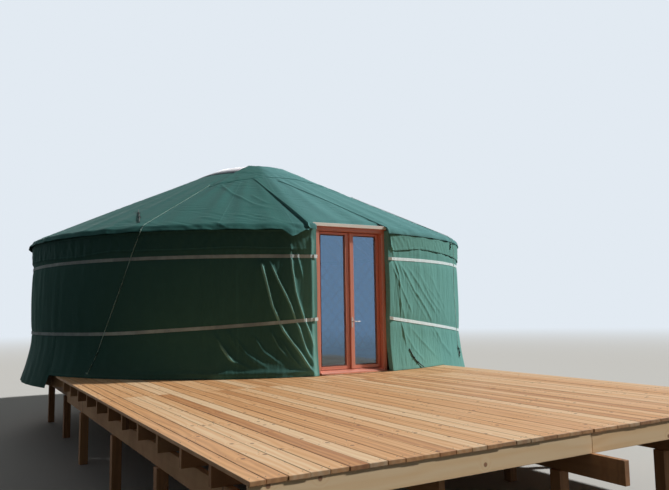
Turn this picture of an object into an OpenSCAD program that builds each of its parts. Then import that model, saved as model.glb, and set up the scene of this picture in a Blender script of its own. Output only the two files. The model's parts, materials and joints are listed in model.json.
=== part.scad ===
// Yurt of green canvas over a lattice wall, on a timber platform with a wide plank terrace.
// Millimetres. The door faces -Y, +Z is up, and the origin is the foot of the middle post,
// on the level where the lowest post meets the ground.

/* [Yurt] */
// Outside radius of the wall canvas
wall_r = 3985; // [2900:5:4400]
// Height of the roof's edge above the floor
eave_h = 2135; // [1950:5:2400]
// Slope of the roof in degrees
roof_pitch = 25; // [20:0.5:30]
// Outside radius of the crown ring
crown_r = 750; // [500:10:900]
// Thickness of canvas and felt together
canvas_t = 22; // [6:1:40]
// How far the wall canvas stands out at floor level
flare = 95; // [0:5:120]
// Roof poles borne by the lattice, besides the two over the door
lattice_poles = 48; // [48:1:48]
// Flat facets that the round lattice is made of
facets = 24; // [24:4:24]

/* [Door] */
// Middle of the door, sideways from the yurt's axis
door_x = -90; // [-150:5:150]
// Overall width of the door frame
door_w = 1200; // [1000:10:1400]
// Overall height of the door frame
door_h = 2150; // [1900:5:2200]
// Front face of the door frame
door_front = 3870; // [3800:5:3900]

/* [Terrace] */
// Left edge of the terrace
terrace_left = -3790; // [-4400:10:-2000]
// Right edge of the terrace
terrace_right = 1790; // [1000:10:4400]
// Front edge of the terrace
terrace_front = 8790; // [6000:10:10000]
// Line where the boards butt end to end
butt_y = 4700; // [4400:10:5200]
// Height of the floor above the lowest ground
floor_h = 1000; // [600:10:2000]
// How far one bearer runs out past the front board
bearer_stub = 270; // [0:10:400]

/* [Hidden] */
$fn = 48;
round_fn = 720;
clear = 0.5;
// floor and frame timbers
board_t = 27;
joist_w = 50;
joist_h = 150;
joist_step = 610;
bearer_w = 50;
bearer_h = 175;
post_w = 100;
joist_z = floor_h - board_t - joist_h;
bearer_z = joist_z - bearer_h;
floor_r = 3940;
rim_t = 22;
rim_parts = 24;
skirt_drop = 180;
terrace_gap = 35;
fascia_t = 25;
fascia_set = 15;
row_gap = 1300;
terrace_rows = [for (k = [0:4]) terrace_left + 140 + k * row_gap];
terrace_post_y = [8450, 6600, 4900];
platform_rows = [-3550, -2500, -1250, 0, 1250, 2500, 3550];
stub_row = 2;
// roof
roof_t = tan(roof_pitch);
eave_r = wall_r + 18;
canvas_drop = canvas_t / cos(roof_pitch);
pole_d = 45;
pole_drop = canvas_drop + (pole_d / 2 + clear) / cos(roof_pitch);
ring_t = 60;
ring_low = 3555;
ring_top = 3650;
dome_rise = 150;
dome_t = 6;
skirt_r = 1050;
skirt_t = 2.5;
function roof_z(r) = floor_h + eave_h + (eave_r - r) * roof_t;
// wall: below flare_z the canvas stands out, the more the lower it hangs
function flare_at(z) = z >= flare_z ? 0 : flare * pow((flare_z - z) / flare_z, 1.5);
canvas_in = wall_r - canvas_t;
canvas_top = eave_h - 23;
flare_z = 440;
// door
door_lx = door_x - door_w / 2;
door_rx = door_x + door_w / 2;
jamb_w = 60;
recess = 80;
leaf_t = 56;
frame_back = door_front - recess - leaf_t;
play = 6;
head_h = 55;
cap_h = 30;
cap_out = 25;
batten_h = 25;
sill_top = 50;
stile = 62;
lock_stile = 70;
rail_low = 62;
rail_top = 48;
rebate = 12;
pane_t = 8;
pane_set = 20;
leaf_low = floor_h + sill_top + play;
leaf_high = floor_h + door_h - cap_h - head_h - play;
pane_fit = 0.5;
strip_t = 25;
strip_back = 5;
pin_y = frame_back - 8;
pin_r = 7;
handle_x = door_x + play / 2 + 30;
handle_z = floor_h + 745;
spindle_r = 8;
// angles on the wall, in degrees to the right of the middle of the front
function az(x, r) = asin(x / r);
function arc_turn(a) = a - 90;
jamb_r_az = az(door_rx + 3, wall_r);
jamb_l_az = 360 + az(door_lx - 3, wall_r);
wall_arc = jamb_l_az - jamb_r_az;
terrace_r_az = az(terrace_right, wall_r);
terrace_l_az = 360 + az(terrace_left, wall_r);
skirt_arc = (terrace_l_az - terrace_r_az) / 4;
facet_a = wall_arc / facets;
// lattice
lattice_r = canvas_in - 1;
facet_w = 2 * lattice_r * sin(facet_a / 2);
facet_in = lattice_r * cos(facet_a / 2);
slat_w = 32;
slat_t = 12;
facet_gap = 4 * slat_t * tan(facet_a / 2) + 2;
cells_x = 4;
cells_z = 7;
lattice_h = eave_h - 49;
slat_end = 40;
cell_w = facet_w / cells_x;
cell_h = (lattice_h - 2 * slat_end) / cells_z;
// roof canvas
gore_a = 15;
gore_gap = 0.03;
seam_l = [[-626, -1464], [-848, -3761]];
seam_r = [[-284, -1525], [432, -3740]];
// crown cover
cover_half = 1460;
cover_t = 6;
cover_lift = 5;
rope_r = 6;
// gap between canvas panels, and between lengths of a belt, in degrees
panel_gap = 0.03;
// belts
belt_gap = 0.5;
belt_out = 5;
belt_h = 48;
belt_top_z = 1680;
belt_left_z = 615;
belt_bend_y = 2800;
belt_climb = 0.146;
belt_low_az = 70;
belt_low_z = 476;
belt_right_slope = [-0.139, 0.054];

// Turns children from the front of the yurt to an azimuth, positive to the right
module at_az(a) {
    rotate(a) children();
}

// Part of a tube about the yurt's axis, between two azimuths
module arc_tube(r_in, r_out, z_low, z_high, from_az, to_az) {
    rotate(arc_turn(from_az))
        rotate_extrude(angle = to_az - from_az, $fn = round_fn)
            translate([r_in, z_low]) square([r_out - r_in, z_high - z_low]);
}

// Timber of the platform and the terrace
module box_at(x0, x1, y0, y1, z0, z1) {
    translate([x0, y0, z0]) cube([x1 - x0, y1 - y0, z1 - z0]);
}

module platform_floor() {
    color("burlywood")
        translate([0, 0, floor_h - board_t]) cylinder(r = floor_r, h = board_t, $fn = round_fn);
}

module platform_rim() {
    color("peru")
        for (k = [0:rim_parts - 1])
            arc_tube(floor_r - rim_t, floor_r, joist_z, floor_h - board_t,
                k * 360 / rim_parts, (k + 1) * 360 / rim_parts - 0.05);
}

module platform_joists() {
    r = floor_r - rim_t;
    color("tan")
        for (k = [-6:6]) {
            y = k * joist_step;
            x = sqrt(r * r - pow(abs(y) + joist_w / 2, 2));
            box_at(-x, x, y - joist_w / 2, y + joist_w / 2, joist_z, floor_h - board_t);
        }
}

module platform_bearers() {
    r = floor_r - 60;
    color("peru")
        for (x = platform_rows) {
            y = sqrt(r * r - pow(abs(x) + bearer_w / 2, 2));
            box_at(x - bearer_w / 2, x + bearer_w / 2, -y, y, bearer_z, joist_z);
        }
}

function post_rows(x) = abs(x) > 3000 ? [-900, 900] : abs(x) > 2000 ? [-2400, 0, 2400] : [-3200, -1600, 0, 1600, 3200];

module post(x, y) {
    box_at(x - post_w / 2, x + post_w / 2, y - post_w / 2, y + post_w / 2, 0, bearer_z);
}

module platform_posts() {
    color("saddlebrown")
        for (x = platform_rows, y = post_rows(x)) post(x, y);
}

// Plank field with the round bite for the yurt
module planks(y_front, y_back) {
    linear_extrude(board_t) difference() {
        translate([terrace_left, -y_front]) square([terrace_right - terrace_left, y_front - y_back]);
        circle(r = wall_r + terrace_gap, $fn = round_fn);
    }
}

module terrace_boards_front() {
    color("burlywood") translate([0, 0, floor_h - board_t]) planks(terrace_front, butt_y + 2);
}

module terrace_boards_back() {
    color("burlywood") translate([0, 0, floor_h - board_t]) planks(butt_y - 2, 1220);
}

module terrace_joists() {
    first = terrace_front - fascia_set - fascia_t - joist_w / 2;
    color("tan")
        difference() {
            for (k = [0:11]) {
                y = -first + k * joist_step;
                box_at(terrace_left + 20, terrace_right - 20, y - joist_w / 2, y + joist_w / 2,
                    joist_z, floor_h - board_t);
            }
            translate([0, 0, joist_z - 1]) cylinder(r = wall_r + terrace_gap, h = joist_h + 2, $fn = round_fn);
            box_at(0, terrace_right, -wall_r + 300, 0, joist_z - 1, floor_h);
        }
}

module terrace_bearers() {
    color("peru")
        for (k = [0:4]) {
            x = terrace_rows[k];
            front = k == stub_row ? terrace_front + bearer_stub : terrace_front - 170;
            r = wall_r + terrace_gap;
            back = abs(x) + bearer_w < r ? max(1600, sqrt(r * r - pow(max(0, abs(x) - bearer_w / 2), 2)) + 5) : 1600;
            box_at(x - bearer_w / 2, x + bearer_w / 2, -front, -back, bearer_z, joist_z);
        }
}

module terrace_posts() {
    color("saddlebrown") {
        for (x = terrace_rows, y = terrace_post_y) post(x, -y);
        post(terrace_rows[0], -3000);
    }
}

module front_fascia() {
    color("wheat")
        box_at(terrace_left, terrace_right, -terrace_front + fascia_set,
            -terrace_front + fascia_set + fascia_t, joist_z, floor_h - board_t);
}

// Door frame
module door_jamb(x) {
    color("firebrick")
        box_at(x, x + jamb_w, -door_front, -frame_back, floor_h, floor_h + door_h - cap_h - head_h);
}

module door_jamb_left() {
    door_jamb(door_lx);
}

module door_jamb_right() {
    door_jamb(door_rx - jamb_w);
}

// Head, its cap and a batten that ends the roof canvas on it
module door_head() {
    color("firebrick") {
        z = floor_h + door_h - cap_h - head_h;
        box_at(door_lx, door_rx, -door_front, -frame_back, z, z + head_h);
        box_at(door_lx - 10, door_rx + 10, -door_front - cap_out, -frame_back,
            z + head_h, z + head_h + cap_h);
        box_at(door_lx - 8, door_rx + 8, -door_front - cap_out, -door_front + 18,
            floor_h + door_h, floor_h + door_h + batten_h);
    }
}

// The sill slopes outwards from the leaves to a thin nose past the frame
module door_sill() {
    nose = door_front + 30;
    color("salmon")
        translate([door_lx + jamb_w, 0, floor_h]) rotate([90, 0, 90])
            linear_extrude(door_w - 2 * jamb_w)
                polygon([[-frame_back, 0], [-frame_back, sill_top], [-door_front + recess, sill_top],
                    [-nose, 22], [-nose, 0]]);
}

// Hinge pins stand behind the frame, in line with the jambs' inner faces
module door_hinges() {
    color("silver")
        for (side = [-1, 1], z = [300, 1050, 1800]) {
            x = door_x + side * (door_w / 2 - jamb_w);
            translate([x, -pin_y, floor_h + z]) cylinder(r = pin_r, h = 40);
            box_at(min(x, x + side * 40), max(x, x + side * 40), -frame_back, -frame_back + 3,
                floor_h + z, floor_h + z + 40);
        }
}

// One glazed leaf. The lock stile is at its inner edge, away from its jamb.
module leaf(side) {
    x_hinge = door_x + side * (door_w / 2 - jamb_w - play);
    x_lock = door_x + side * play / 2;
    x0 = min(x_hinge, x_lock);
    x1 = max(x_hinge, x_lock);
    g0 = x0 + (side < 0 ? stile : lock_stile);
    g1 = x1 - (side < 0 ? lock_stile : stile);
    color("brown")
        difference() {
            box_at(x0, x1, -door_front + recess, -frame_back, leaf_low, leaf_high);
            box_at(g0, g1, -door_front, -frame_back + 50, leaf_low + rail_low, leaf_high - rail_top);
            box_at(g0 - rebate, g1 + rebate, -door_front + recess + pane_set - pane_fit,
                -door_front + recess + pane_set + pane_t + pane_fit,
                leaf_low + rail_low - rebate, leaf_high - rail_top + rebate);
            if (side > 0)
                translate([handle_x, 0, handle_z]) rotate([90, 0, 0])
                    cylinder(r = spindle_r + 1, h = door_front + 100);
        }
}

module left_leaf() {
    leaf(-1);
}

module right_leaf() {
    leaf(1);
}

module pane(side) {
    x_hinge = door_x + side * (door_w / 2 - jamb_w - play);
    x_lock = door_x + side * play / 2;
    tuck = rebate - pane_fit;
    x0 = min(x_hinge, x_lock) + (side < 0 ? stile : lock_stile) - tuck;
    x1 = max(x_hinge, x_lock) - (side < 0 ? lock_stile : stile) + tuck;
    y0 = -door_front + recess + pane_set;
    color("lightblue", 0.4)
        box_at(x0, x1, y0, y0 + pane_t, leaf_low + rail_low - rebate, leaf_high - rail_top + tuck);
}

module left_glass() {
    pane(-1);
}

module right_glass() {
    pane(1);
}

// Cover strip along the lock stile of the right leaf, set back so that it clears the other leaf
module meeting_strip() {
    x0 = door_x + play / 2;
    y0 = -door_front + recess - strip_t;
    color("salmon")
        difference() {
            box_at(x0 + strip_back, x0 + lock_stile, y0, y0 + strip_t, leaf_low, leaf_high);
            translate([handle_x, 0, handle_z]) rotate([90, 0, 0])
                cylinder(r = spindle_r + 1, h = door_front + 100);
        }
}

// A plate on each face of the lock stile
module handle_plates() {
    front = -door_front + recess - strip_t;
    back = -frame_back;
    color("silver")
        for (y = [front - 4, back])
            difference() {
                box_at(handle_x - 15, handle_x + 15, y, y + 4, handle_z - 90, handle_z + 60);
                translate([handle_x, y - 1, handle_z]) rotate([-90, 0, 0])
                    cylinder(r = spindle_r + 1, h = 6);
            }
}

// Two lever arms on one spindle
module handle_lever() {
    y_front = -door_front + recess - strip_t - 50;
    y_back = -frame_back + 50;
    color("lightgrey") {
        translate([handle_x, y_front, handle_z]) rotate([-90, 0, 0])
            cylinder(r = spindle_r, h = y_back - y_front);
        for (y = [y_front, y_back])
            translate([handle_x - 12, y, handle_z]) rotate([0, 90, 0]) cylinder(r = 9, h = 130);
    }
}

// Lattice wall: flat facets, each of two layers of slats that cross
module slat_layer(lean) {
    run = (cells_x + cells_z + 2) * max(cell_w, cell_h) * 1.5;
    lean_a = atan2(cell_h, cell_w);
    linear_extrude(slat_t)
        intersection() {
            translate([facet_gap / 2, 0]) square([facet_w - facet_gap, lattice_h]);
            for (k = [-cells_z:cells_x + cells_z])
                translate([(k + 0.5) * cell_w, slat_end])
                    rotate(lean > 0 ? lean_a : 180 - lean_a)
                        translate([-run / 2, -slat_w / 2]) square([run, slat_w]);
        }
}

module lattice_facet() {
    translate([-facet_w / 2, -facet_in, floor_h]) rotate([90, 0, 0])
        translate([0, 0, -2 * slat_t]) {
            slat_layer(1);
            translate([0, 0, slat_t]) slat_layer(-1);
        }
}

module lattice(part) {
    color("tan")
        for (k = [0:facets / 4 - 1])
            at_az(jamb_r_az + (part * facets / 4 + k + 0.5) * facet_a) lattice_facet();
}

module lattice_right() {
    lattice(0);
}

module lattice_back_right() {
    lattice(1);
}

module lattice_back_left() {
    lattice(2);
}

module lattice_left() {
    lattice(3);
}

// Roof poles from the top of the lattice to the crown ring. The two over the door rest on its cap.
pole_az = concat([for (k = [0:lattice_poles - 1]) jamb_r_az + (k * 0.5 + 0.125) * facet_a],
    [for (k = [1:2]) jamb_l_az - 0.375 * facet_a
        + k * (360 - wall_arc + 0.5 * facet_a) / 3]);

module roof_poles() {
    cap_top = floor_h + door_h;
    r_cap = eave_r - (cap_top + 1 + pole_d / 2 * cos(roof_pitch) + pole_drop - roof_z(eave_r)) / roof_t;
    r1 = crown_r + 12;
    color("tan")
        for (k = [0:len(pole_az) - 1]) {
            r0 = k < lattice_poles ? wall_r - 35 : r_cap;
            at_az(pole_az[k]) translate([0, -r0, roof_z(r0) - pole_drop])
                rotate([-90 + roof_pitch, 0, 0])
                    cylinder(d = pole_d, h = (r0 - r1) / cos(roof_pitch));
        }
}

module crown_ring() {
    color("peru")
        rotate_extrude($fn = round_fn) translate([crown_r - ring_t, floor_h + ring_low])
            square([ring_t, ring_top - ring_low]);
}

module crown_spokes() {
    z = floor_h + ring_low + 30;
    half_w = 18;
    r = sqrt(pow(crown_r - ring_t, 2) - half_w * half_w) - 0.1;
    color("peru") {
        translate([0, 0, z]) cylinder(r = 60, h = 40);
        for (k = [0:7])
            rotate(k * 45) box_at(40, r, -half_w, half_w, z, z + 40);
    }
}

// Height of the clear cap over the crown, a slice of a sphere that stands on the ring. Its skirt
// lies on the roof canvas.
dome_r = crown_r - 10;
dome_round = (dome_r * dome_r + dome_rise * dome_rise) / (2 * dome_rise);
function dome_z(r) = floor_h + ring_top + dome_rise - dome_round + sqrt(dome_round * dome_round - r * r);

module crown_dome() {
    steps = 12;
    outside = [for (k = [0:steps]) let (r = dome_r * k / steps) [r, dome_z(r) + dome_t]];
    skirt = concat([for (r = [crown_r + 5, skirt_r]) [r, roof_z(r) + clear + skirt_t]],
        [for (r = [skirt_r, crown_r + 5]) [r, roof_z(r) + clear]]);
    inside = [for (k = [steps:-1:0]) let (r = dome_r * k / steps) [r, dome_z(r)]];
    color("lightcyan", 0.5)
        rotate_extrude($fn = round_fn) polygon(concat(outside, skirt, inside));
}

// The crown cover follows the roof and the dome under it
module cover_shell(lift) {
    lap = 790;
    steps = 8;
    top = [for (k = [0:steps]) let (r = lap * k / steps)
        [r, (k < steps ? dome_z(r) + dome_t : roof_z(r)) + lift]];
    rim = [[cover_half * 1.45, roof_z(cover_half * 1.45) + lift]];
    rotate_extrude($fn = round_fn)
        polygon(concat(top, rim,
            [for (p = [rim[0], each [for (k = [steps:-1:0]) top[k]]]) [p[0], p[1] + cover_t]]));
}

// The square cover lies folded on its diagonal: the back left half is turned over the front right
// one, and the left of the clear cap is bare
module crown_cover() {
    c = cover_half;
    color("darkgreen")
        for (lift = [cover_lift, cover_lift + cover_t])
            intersection() {
                cover_shell(lift);
                translate([0, 0, floor_h]) linear_extrude(6000) polygon([[-c, -c], [c, -c], [c, c]]);
            }
}

// Ropes from the cover's corners over the roof and down the wall: an octagon carried along points
module rope(points) {
    last = len(points) - 1;
    sides = 8;
    function unit(v) = v / norm(v);
    function along(k) = unit(points[min(k + 1, last)] - points[max(k - 1, 0)]);
    function ring(k) = let (t = along(k), n = unit(cross(t, [0, 0, 1])), b = cross(t, n))
        [for (j = [0:sides - 1]) points[k] + rope_r * (n * cos(j * 360 / sides) + b * sin(j * 360 / sides))];
    polyhedron([for (k = [0:last]) each ring(k)],
        concat([[for (j = [0:sides - 1]) j]],
            [for (k = [0:last - 1], j = [0:sides - 1]) let (i = k * sides, m = (j + 1) % sides)
                [i + m, i + j, i + sides + j, i + sides + m]],
            [[for (j = [sides - 1:-1:0]) last * sides + j]]));
}

function on_wall(a, r, z) = [r * sin(a), -r * cos(a), z];

// Azimuths of each rope at the cover's corner, at the roof's edge and at its foot. The fourth
// corner lies on the one at the front right and is tied with it.
rope_az = [[-44.5, -45.8, -58.5], [45, 35, 39.8], [135, 137, 149]];
rope_foot = 70;

module cover_ropes() {
    r0 = cover_half * sqrt(2) - 20;
    r1 = eave_r + 8;
    on_cover = cover_lift + 2 * cover_t + rope_r + 1.5;
    on_roof = rope_r + 9;
    top = eave_h - 40;
    color("beige")
        for (side = rope_az)
            rope(concat(
                [for (k = [0:4]) let (r = r0 + (r1 - r0) * k / 4,
                    a = side[0] + (side[1] - side[0]) * (1 / r0 - 1 / r) / (1 / r0 - 1 / r1))
                    on_wall(a, r, roof_z(r) + (k == 0 ? on_cover : on_roof))],
                [for (k = [0:6]) let (z = top + (rope_foot - top) * k / 6,
                    r = wall_r + 19 + max(0, flare_at(z) - 4))
                    on_wall(side[1] + (side[2] - side[1]) * k / 6, r, floor_h + z)]));
}

// Wall canvas in panels. Those over the terrace end at its boards, the others hang past the platform.
module canvas_panel(from_az, to_az, low) {
    steps = 4;
    side = concat([canvas_top], [for (k = [0:steps]) flare_z + (low - flare_z) * k / steps]);
    outside = [for (z = side) [wall_r + flare_at(z), floor_h + z]];
    inside = [for (k = [steps + 1:-1:0]) [outside[k][0] - canvas_t, outside[k][1]]];
    color("seagreen")
        rotate(arc_turn(from_az))
            rotate_extrude(angle = to_az - panel_gap - from_az, $fn = round_fn)
                polygon(concat(outside, inside));
}

module wall_canvas_front_left() {
    canvas_panel(terrace_l_az, jamb_l_az, 2);
}

module wall_canvas_front_right() {
    canvas_panel(jamb_r_az, terrace_r_az, 2);
}

module wall_canvas_right() {
    canvas_panel(terrace_r_az, terrace_r_az + skirt_arc, -skirt_drop);
}

module wall_canvas_back_right() {
    canvas_panel(terrace_r_az + skirt_arc, terrace_r_az + 2 * skirt_arc, -skirt_drop);
}

module wall_canvas_back_left() {
    canvas_panel(terrace_r_az + 2 * skirt_arc, terrace_r_az + 3 * skirt_arc, -skirt_drop);
}

module wall_canvas_left() {
    canvas_panel(terrace_r_az + 3 * skirt_arc, terrace_l_az, -skirt_drop);
}

// Strip that hangs from the roof's edge over the top of the wall
module valance() {
    color("seagreen")
        arc_tube(wall_r + 6, wall_r + 12, floor_h + 1800, floor_h + eave_h - 22,
            jamb_r_az, jamb_l_az);
}

// Part of a strap round the wall, in a plane of this slope along x and y that has the height z
// over the floor at the azimuth at_az on the wall
module sloping_belt(slope, z, at_az, from_az, to_az) {
    tilt = atan(norm(slope));
    middle = z - wall_r * (slope[0] * sin(at_az) - slope[1] * cos(at_az));
    intersection() {
        arc_tube(wall_r + belt_gap, wall_r + belt_out, floor_h + 300, floor_h + 1100,
            from_az, to_az - panel_gap);
        translate([0, 0, floor_h + middle])
            rotate([0, -tilt, atan2(slope[1], slope[0])])
                cube([3 * wall_r, 3 * wall_r, belt_h * cos(tilt)], center = true);
    }
}

// Two webbing belts round the wall. The lower one is in four lengths, end to end. It climbs
// towards the door from both sides, is level on the left and lowest at the back right.
module wall_belts() {
    bend_az = 360 - acos(belt_bend_y / wall_r);
    back_slope = (belt_low_z - belt_left_z) / (wall_r * (sin(belt_low_az) + 1));
    color("ivory") {
        arc_tube(wall_r + belt_gap, wall_r + belt_out, floor_h + belt_top_z - belt_h / 2,
            floor_h + belt_top_z + belt_h / 2, jamb_r_az, jamb_l_az);
        sloping_belt(belt_right_slope, belt_low_z, belt_low_az, jamb_r_az, belt_low_az);
        sloping_belt([back_slope, 0], belt_left_z, 270, belt_low_az, 270);
        sloping_belt([0, 0], belt_left_z, 270, 270, bend_az);
        sloping_belt([0, -belt_climb], belt_left_z, bend_az, bend_az, jamb_l_az);
    }
}

// Roof canvas: gores of a cone, with a wedge of its own over the door
module gore(from_az, to_az) {
    r_top = crown_r + 5;
    rotate(arc_turn(from_az))
        rotate_extrude(angle = to_az - from_az, $fn = round_fn)
            polygon([[eave_r, roof_z(eave_r)], [r_top, roof_z(r_top)],
                [r_top, roof_z(r_top) - canvas_drop], [eave_r, roof_z(eave_r) - canvas_drop]]);
}

// A point on a seam's line, from 0 at the crown cover's edge to 1 at the roof's edge
function on_seam(seam, t) = seam[0] + (seam[1] - seam[0]) * t;

// Plan of all that lies on one side of a seam, moved sideways by a margin
module beside_seam(seam, side, margin) {
    out = [side * 9000, 0];
    m = [side * margin, 0];
    translate([0, 0, floor_h]) linear_extrude(6000)
        polygon([on_seam(seam, -0.6) + m, on_seam(seam, 1.3) + m, on_seam(seam, 1.3) + out,
            on_seam(seam, -0.6) + out]);
}

module roof_canvas_left() {
    color("darkseagreen")
        difference() {
            for (k = [0:11]) gore(180 + k * gore_a, 180 + (k + 1) * gore_a - gore_gap);
            beside_seam(seam_l, 1, -2);
            beside_seam(seam_r, 1, -2);
            doorway_cut();
        }
}

module roof_canvas_right() {
    color("darkseagreen")
        difference() {
            union() {
                gore(-45, -gore_gap);
                for (k = [0:11]) gore(k * gore_a, (k + 1) * gore_a - gore_gap);
            }
            beside_seam(seam_r, -1, -2);
            doorway_cut();
        }
}

module roof_canvas_door() {
    color("darkseagreen")
        difference() {
            gore(-60, 30);
            beside_seam(seam_l, -1, 0);
            beside_seam(seam_r, 1, 0);
            doorway_cut();
        }
}

// Over the door the roof canvas ends on the head, behind its cap's front edge
module doorway_cut() {
    box_at(door_lx - 10, door_rx + 10, -eave_r - 200, -door_front + 20, floor_h, floor_h + 4000);
}

platform_floor();
platform_rim();
platform_joists();
platform_bearers();
platform_posts();
terrace_boards_front();
terrace_boards_back();
terrace_joists();
terrace_bearers();
terrace_posts();
front_fascia();
door_head();
door_jamb_left();
door_jamb_right();
door_sill();
door_hinges();
left_leaf();
left_glass();
right_leaf();
right_glass();
meeting_strip();
handle_plates();
handle_lever();
lattice_right();
lattice_back_right();
lattice_back_left();
lattice_left();
roof_poles();
crown_ring();
crown_spokes();
crown_dome();
crown_cover();
cover_ropes();
wall_canvas_front_left();
wall_canvas_front_right();
wall_canvas_right();
wall_canvas_back_right();
wall_canvas_back_left();
wall_canvas_left();
valance();
wall_belts();
roof_canvas_left();
roof_canvas_door();
roof_canvas_right();
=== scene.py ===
"""Canvas yurt on a timber platform, with its plank terrace and glazed double door.

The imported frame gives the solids. This script makes the pieces that show around them: planks and
timbers with their own grain, a stained door, lattice, poles and crown, and the canvas with its
folds, seams, belts and ropes. Metres, +Z up, the door faces -Y, the floor is 1 m above the ground.
Azimuths are in degrees to the right of the middle of the front, and heights are above the floor.
"""
from __future__ import annotations

import json
import logging
import math
from dataclasses import dataclass, field
from enum import Enum
from typing import Any, Callable, ClassVar, Sequence

import bpy
import numpy as np
from mathutils import Matrix, Vector

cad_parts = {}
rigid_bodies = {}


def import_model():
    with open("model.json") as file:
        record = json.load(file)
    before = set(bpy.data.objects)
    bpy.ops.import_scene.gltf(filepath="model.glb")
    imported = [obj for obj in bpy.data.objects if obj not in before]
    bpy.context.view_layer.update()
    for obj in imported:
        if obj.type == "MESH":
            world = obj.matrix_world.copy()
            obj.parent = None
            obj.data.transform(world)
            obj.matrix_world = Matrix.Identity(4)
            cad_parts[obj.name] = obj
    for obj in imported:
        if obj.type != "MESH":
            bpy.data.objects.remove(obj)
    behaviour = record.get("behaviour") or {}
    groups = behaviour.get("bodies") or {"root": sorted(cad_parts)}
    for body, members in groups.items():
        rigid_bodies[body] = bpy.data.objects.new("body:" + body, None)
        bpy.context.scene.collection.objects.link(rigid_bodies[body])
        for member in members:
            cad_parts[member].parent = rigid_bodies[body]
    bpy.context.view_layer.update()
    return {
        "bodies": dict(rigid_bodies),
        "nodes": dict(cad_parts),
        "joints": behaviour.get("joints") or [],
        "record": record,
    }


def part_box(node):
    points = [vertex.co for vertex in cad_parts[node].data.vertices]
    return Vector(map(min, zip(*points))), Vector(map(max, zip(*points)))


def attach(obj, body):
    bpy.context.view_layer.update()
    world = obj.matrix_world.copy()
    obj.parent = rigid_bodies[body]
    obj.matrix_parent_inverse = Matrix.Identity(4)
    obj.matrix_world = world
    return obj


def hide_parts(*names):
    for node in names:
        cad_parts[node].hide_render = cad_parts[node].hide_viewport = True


LOG = logging.getLogger("yurt")

Colour = tuple[float, float, float, float]
Floats = np.ndarray
Line = Sequence[tuple[float, float]]

FRAME: dict[str, Any] = {}
FLOOR = 1.0
WALL_DEGREE = 0.0695
JAMB_LEFT, JAMB_RIGHT = -10.01, 7.405
LATTICE_TURN = 360 + JAMB_LEFT - JAMB_RIGHT
ROOF_PITCH = math.radians(25)
EAVE_RADIUS, EAVE = 4.003, 2.135
CROWN_EDGE = 0.755
CAP_RADIUS, CAP_RISE = 0.74, 0.12


def paint(red: int, green: int, blue: int) -> Colour:
    """Linear colour for a shader, from the colour as it shows on a screen, 0 to 255."""
    screen = (red / 255, green / 255, blue / 255)
    return (*(c / 12.92 if c <= 0.04045 else ((c + 0.055) / 1.055) ** 2.4 for c in screen), 1.0)


def smooth(value: Floats | float, low: float, high: float) -> Floats:
    """Rises from 0 at low to 1 at high along 3t^2 - 2t^3."""
    t = np.clip((np.asarray(value, float) - low) / (high - low), 0, 1)
    return t * t * (3 - 2 * t)


def bell(distance: Floats, width: float) -> Floats:
    """1 at no distance, falling as e to the power of -(distance / width)^2."""
    return np.exp(-(distance / width) ** 2)


def heading(az: Floats) -> Floats:
    """The same azimuths, from -180 to 180."""
    return (az + 180) % 360 - 180


def roof_height(r: Floats | float) -> Floats | float:
    """Height of the roof's cone above the floor."""
    return EAVE + (EAVE_RADIUS - r) * math.tan(ROOF_PITCH)


def spread(*parts: Any) -> Floats:
    """Points from coordinates whose shapes fit together."""
    return np.stack(np.broadcast_arrays(*parts), -1)


def around(az: Floats | float, r: Floats, z: Floats) -> Floats:
    """Points from azimuths, radii and heights."""
    a = np.radians(az)
    return spread(r * np.sin(a), -r * np.cos(a), FLOOR + z)


def outward(az: Floats) -> Floats:
    """Level directions away from the middle of the yurt."""
    return around(az, 1.0, -FLOOR)


def to_nearest(value: Floats, step: float) -> Floats:
    """Distance to the nearest multiple of a step."""
    return np.abs((value / step + 0.5) % 1 - 0.5) * step


def ring(count: int) -> Floats:
    """Angles evenly round a circle, in radians."""
    return np.linspace(0, 2 * math.pi, count, endpoint=False)


def steps(*spans: tuple[float, float, int]) -> Floats:
    """Lines of a grid: spans (from, to, how many) end to end, each evenly divided."""
    return np.concatenate([np.linspace(low, high, count, endpoint=k == len(spans) - 1)
                           for k, (low, high, count) in enumerate(spans)])


def waves(u: Floats, v: Floats, seed: int, length_u: float, length_v: float, count: int = 9) -> Floats:
    """Smooth random relief: a sum of sines whose lengths lie round the given ones.

    Args:
        u, v: Coordinates in metres.
        seed: Draw of directions and phases.
        length_u, length_v: Usual wavelengths along u and v, in metres.
        count: Number of sines.
    Returns:
        Heights from about -1 to 1.
    """
    draw = np.random.default_rng(seed)
    total = np.zeros(np.broadcast(u, v).shape)
    for _ in range(count):
        ku = 2 * math.pi / (length_u * draw.uniform(0.6, 1.8)) * draw.choice([-1, 1])
        kv = 2 * math.pi / (length_v * draw.uniform(0.6, 1.8))
        total = total + np.sin(ku * u + kv * v + draw.uniform(0, 2 * math.pi))
    return total / math.sqrt(count) / 1.4


# Meshes


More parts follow.
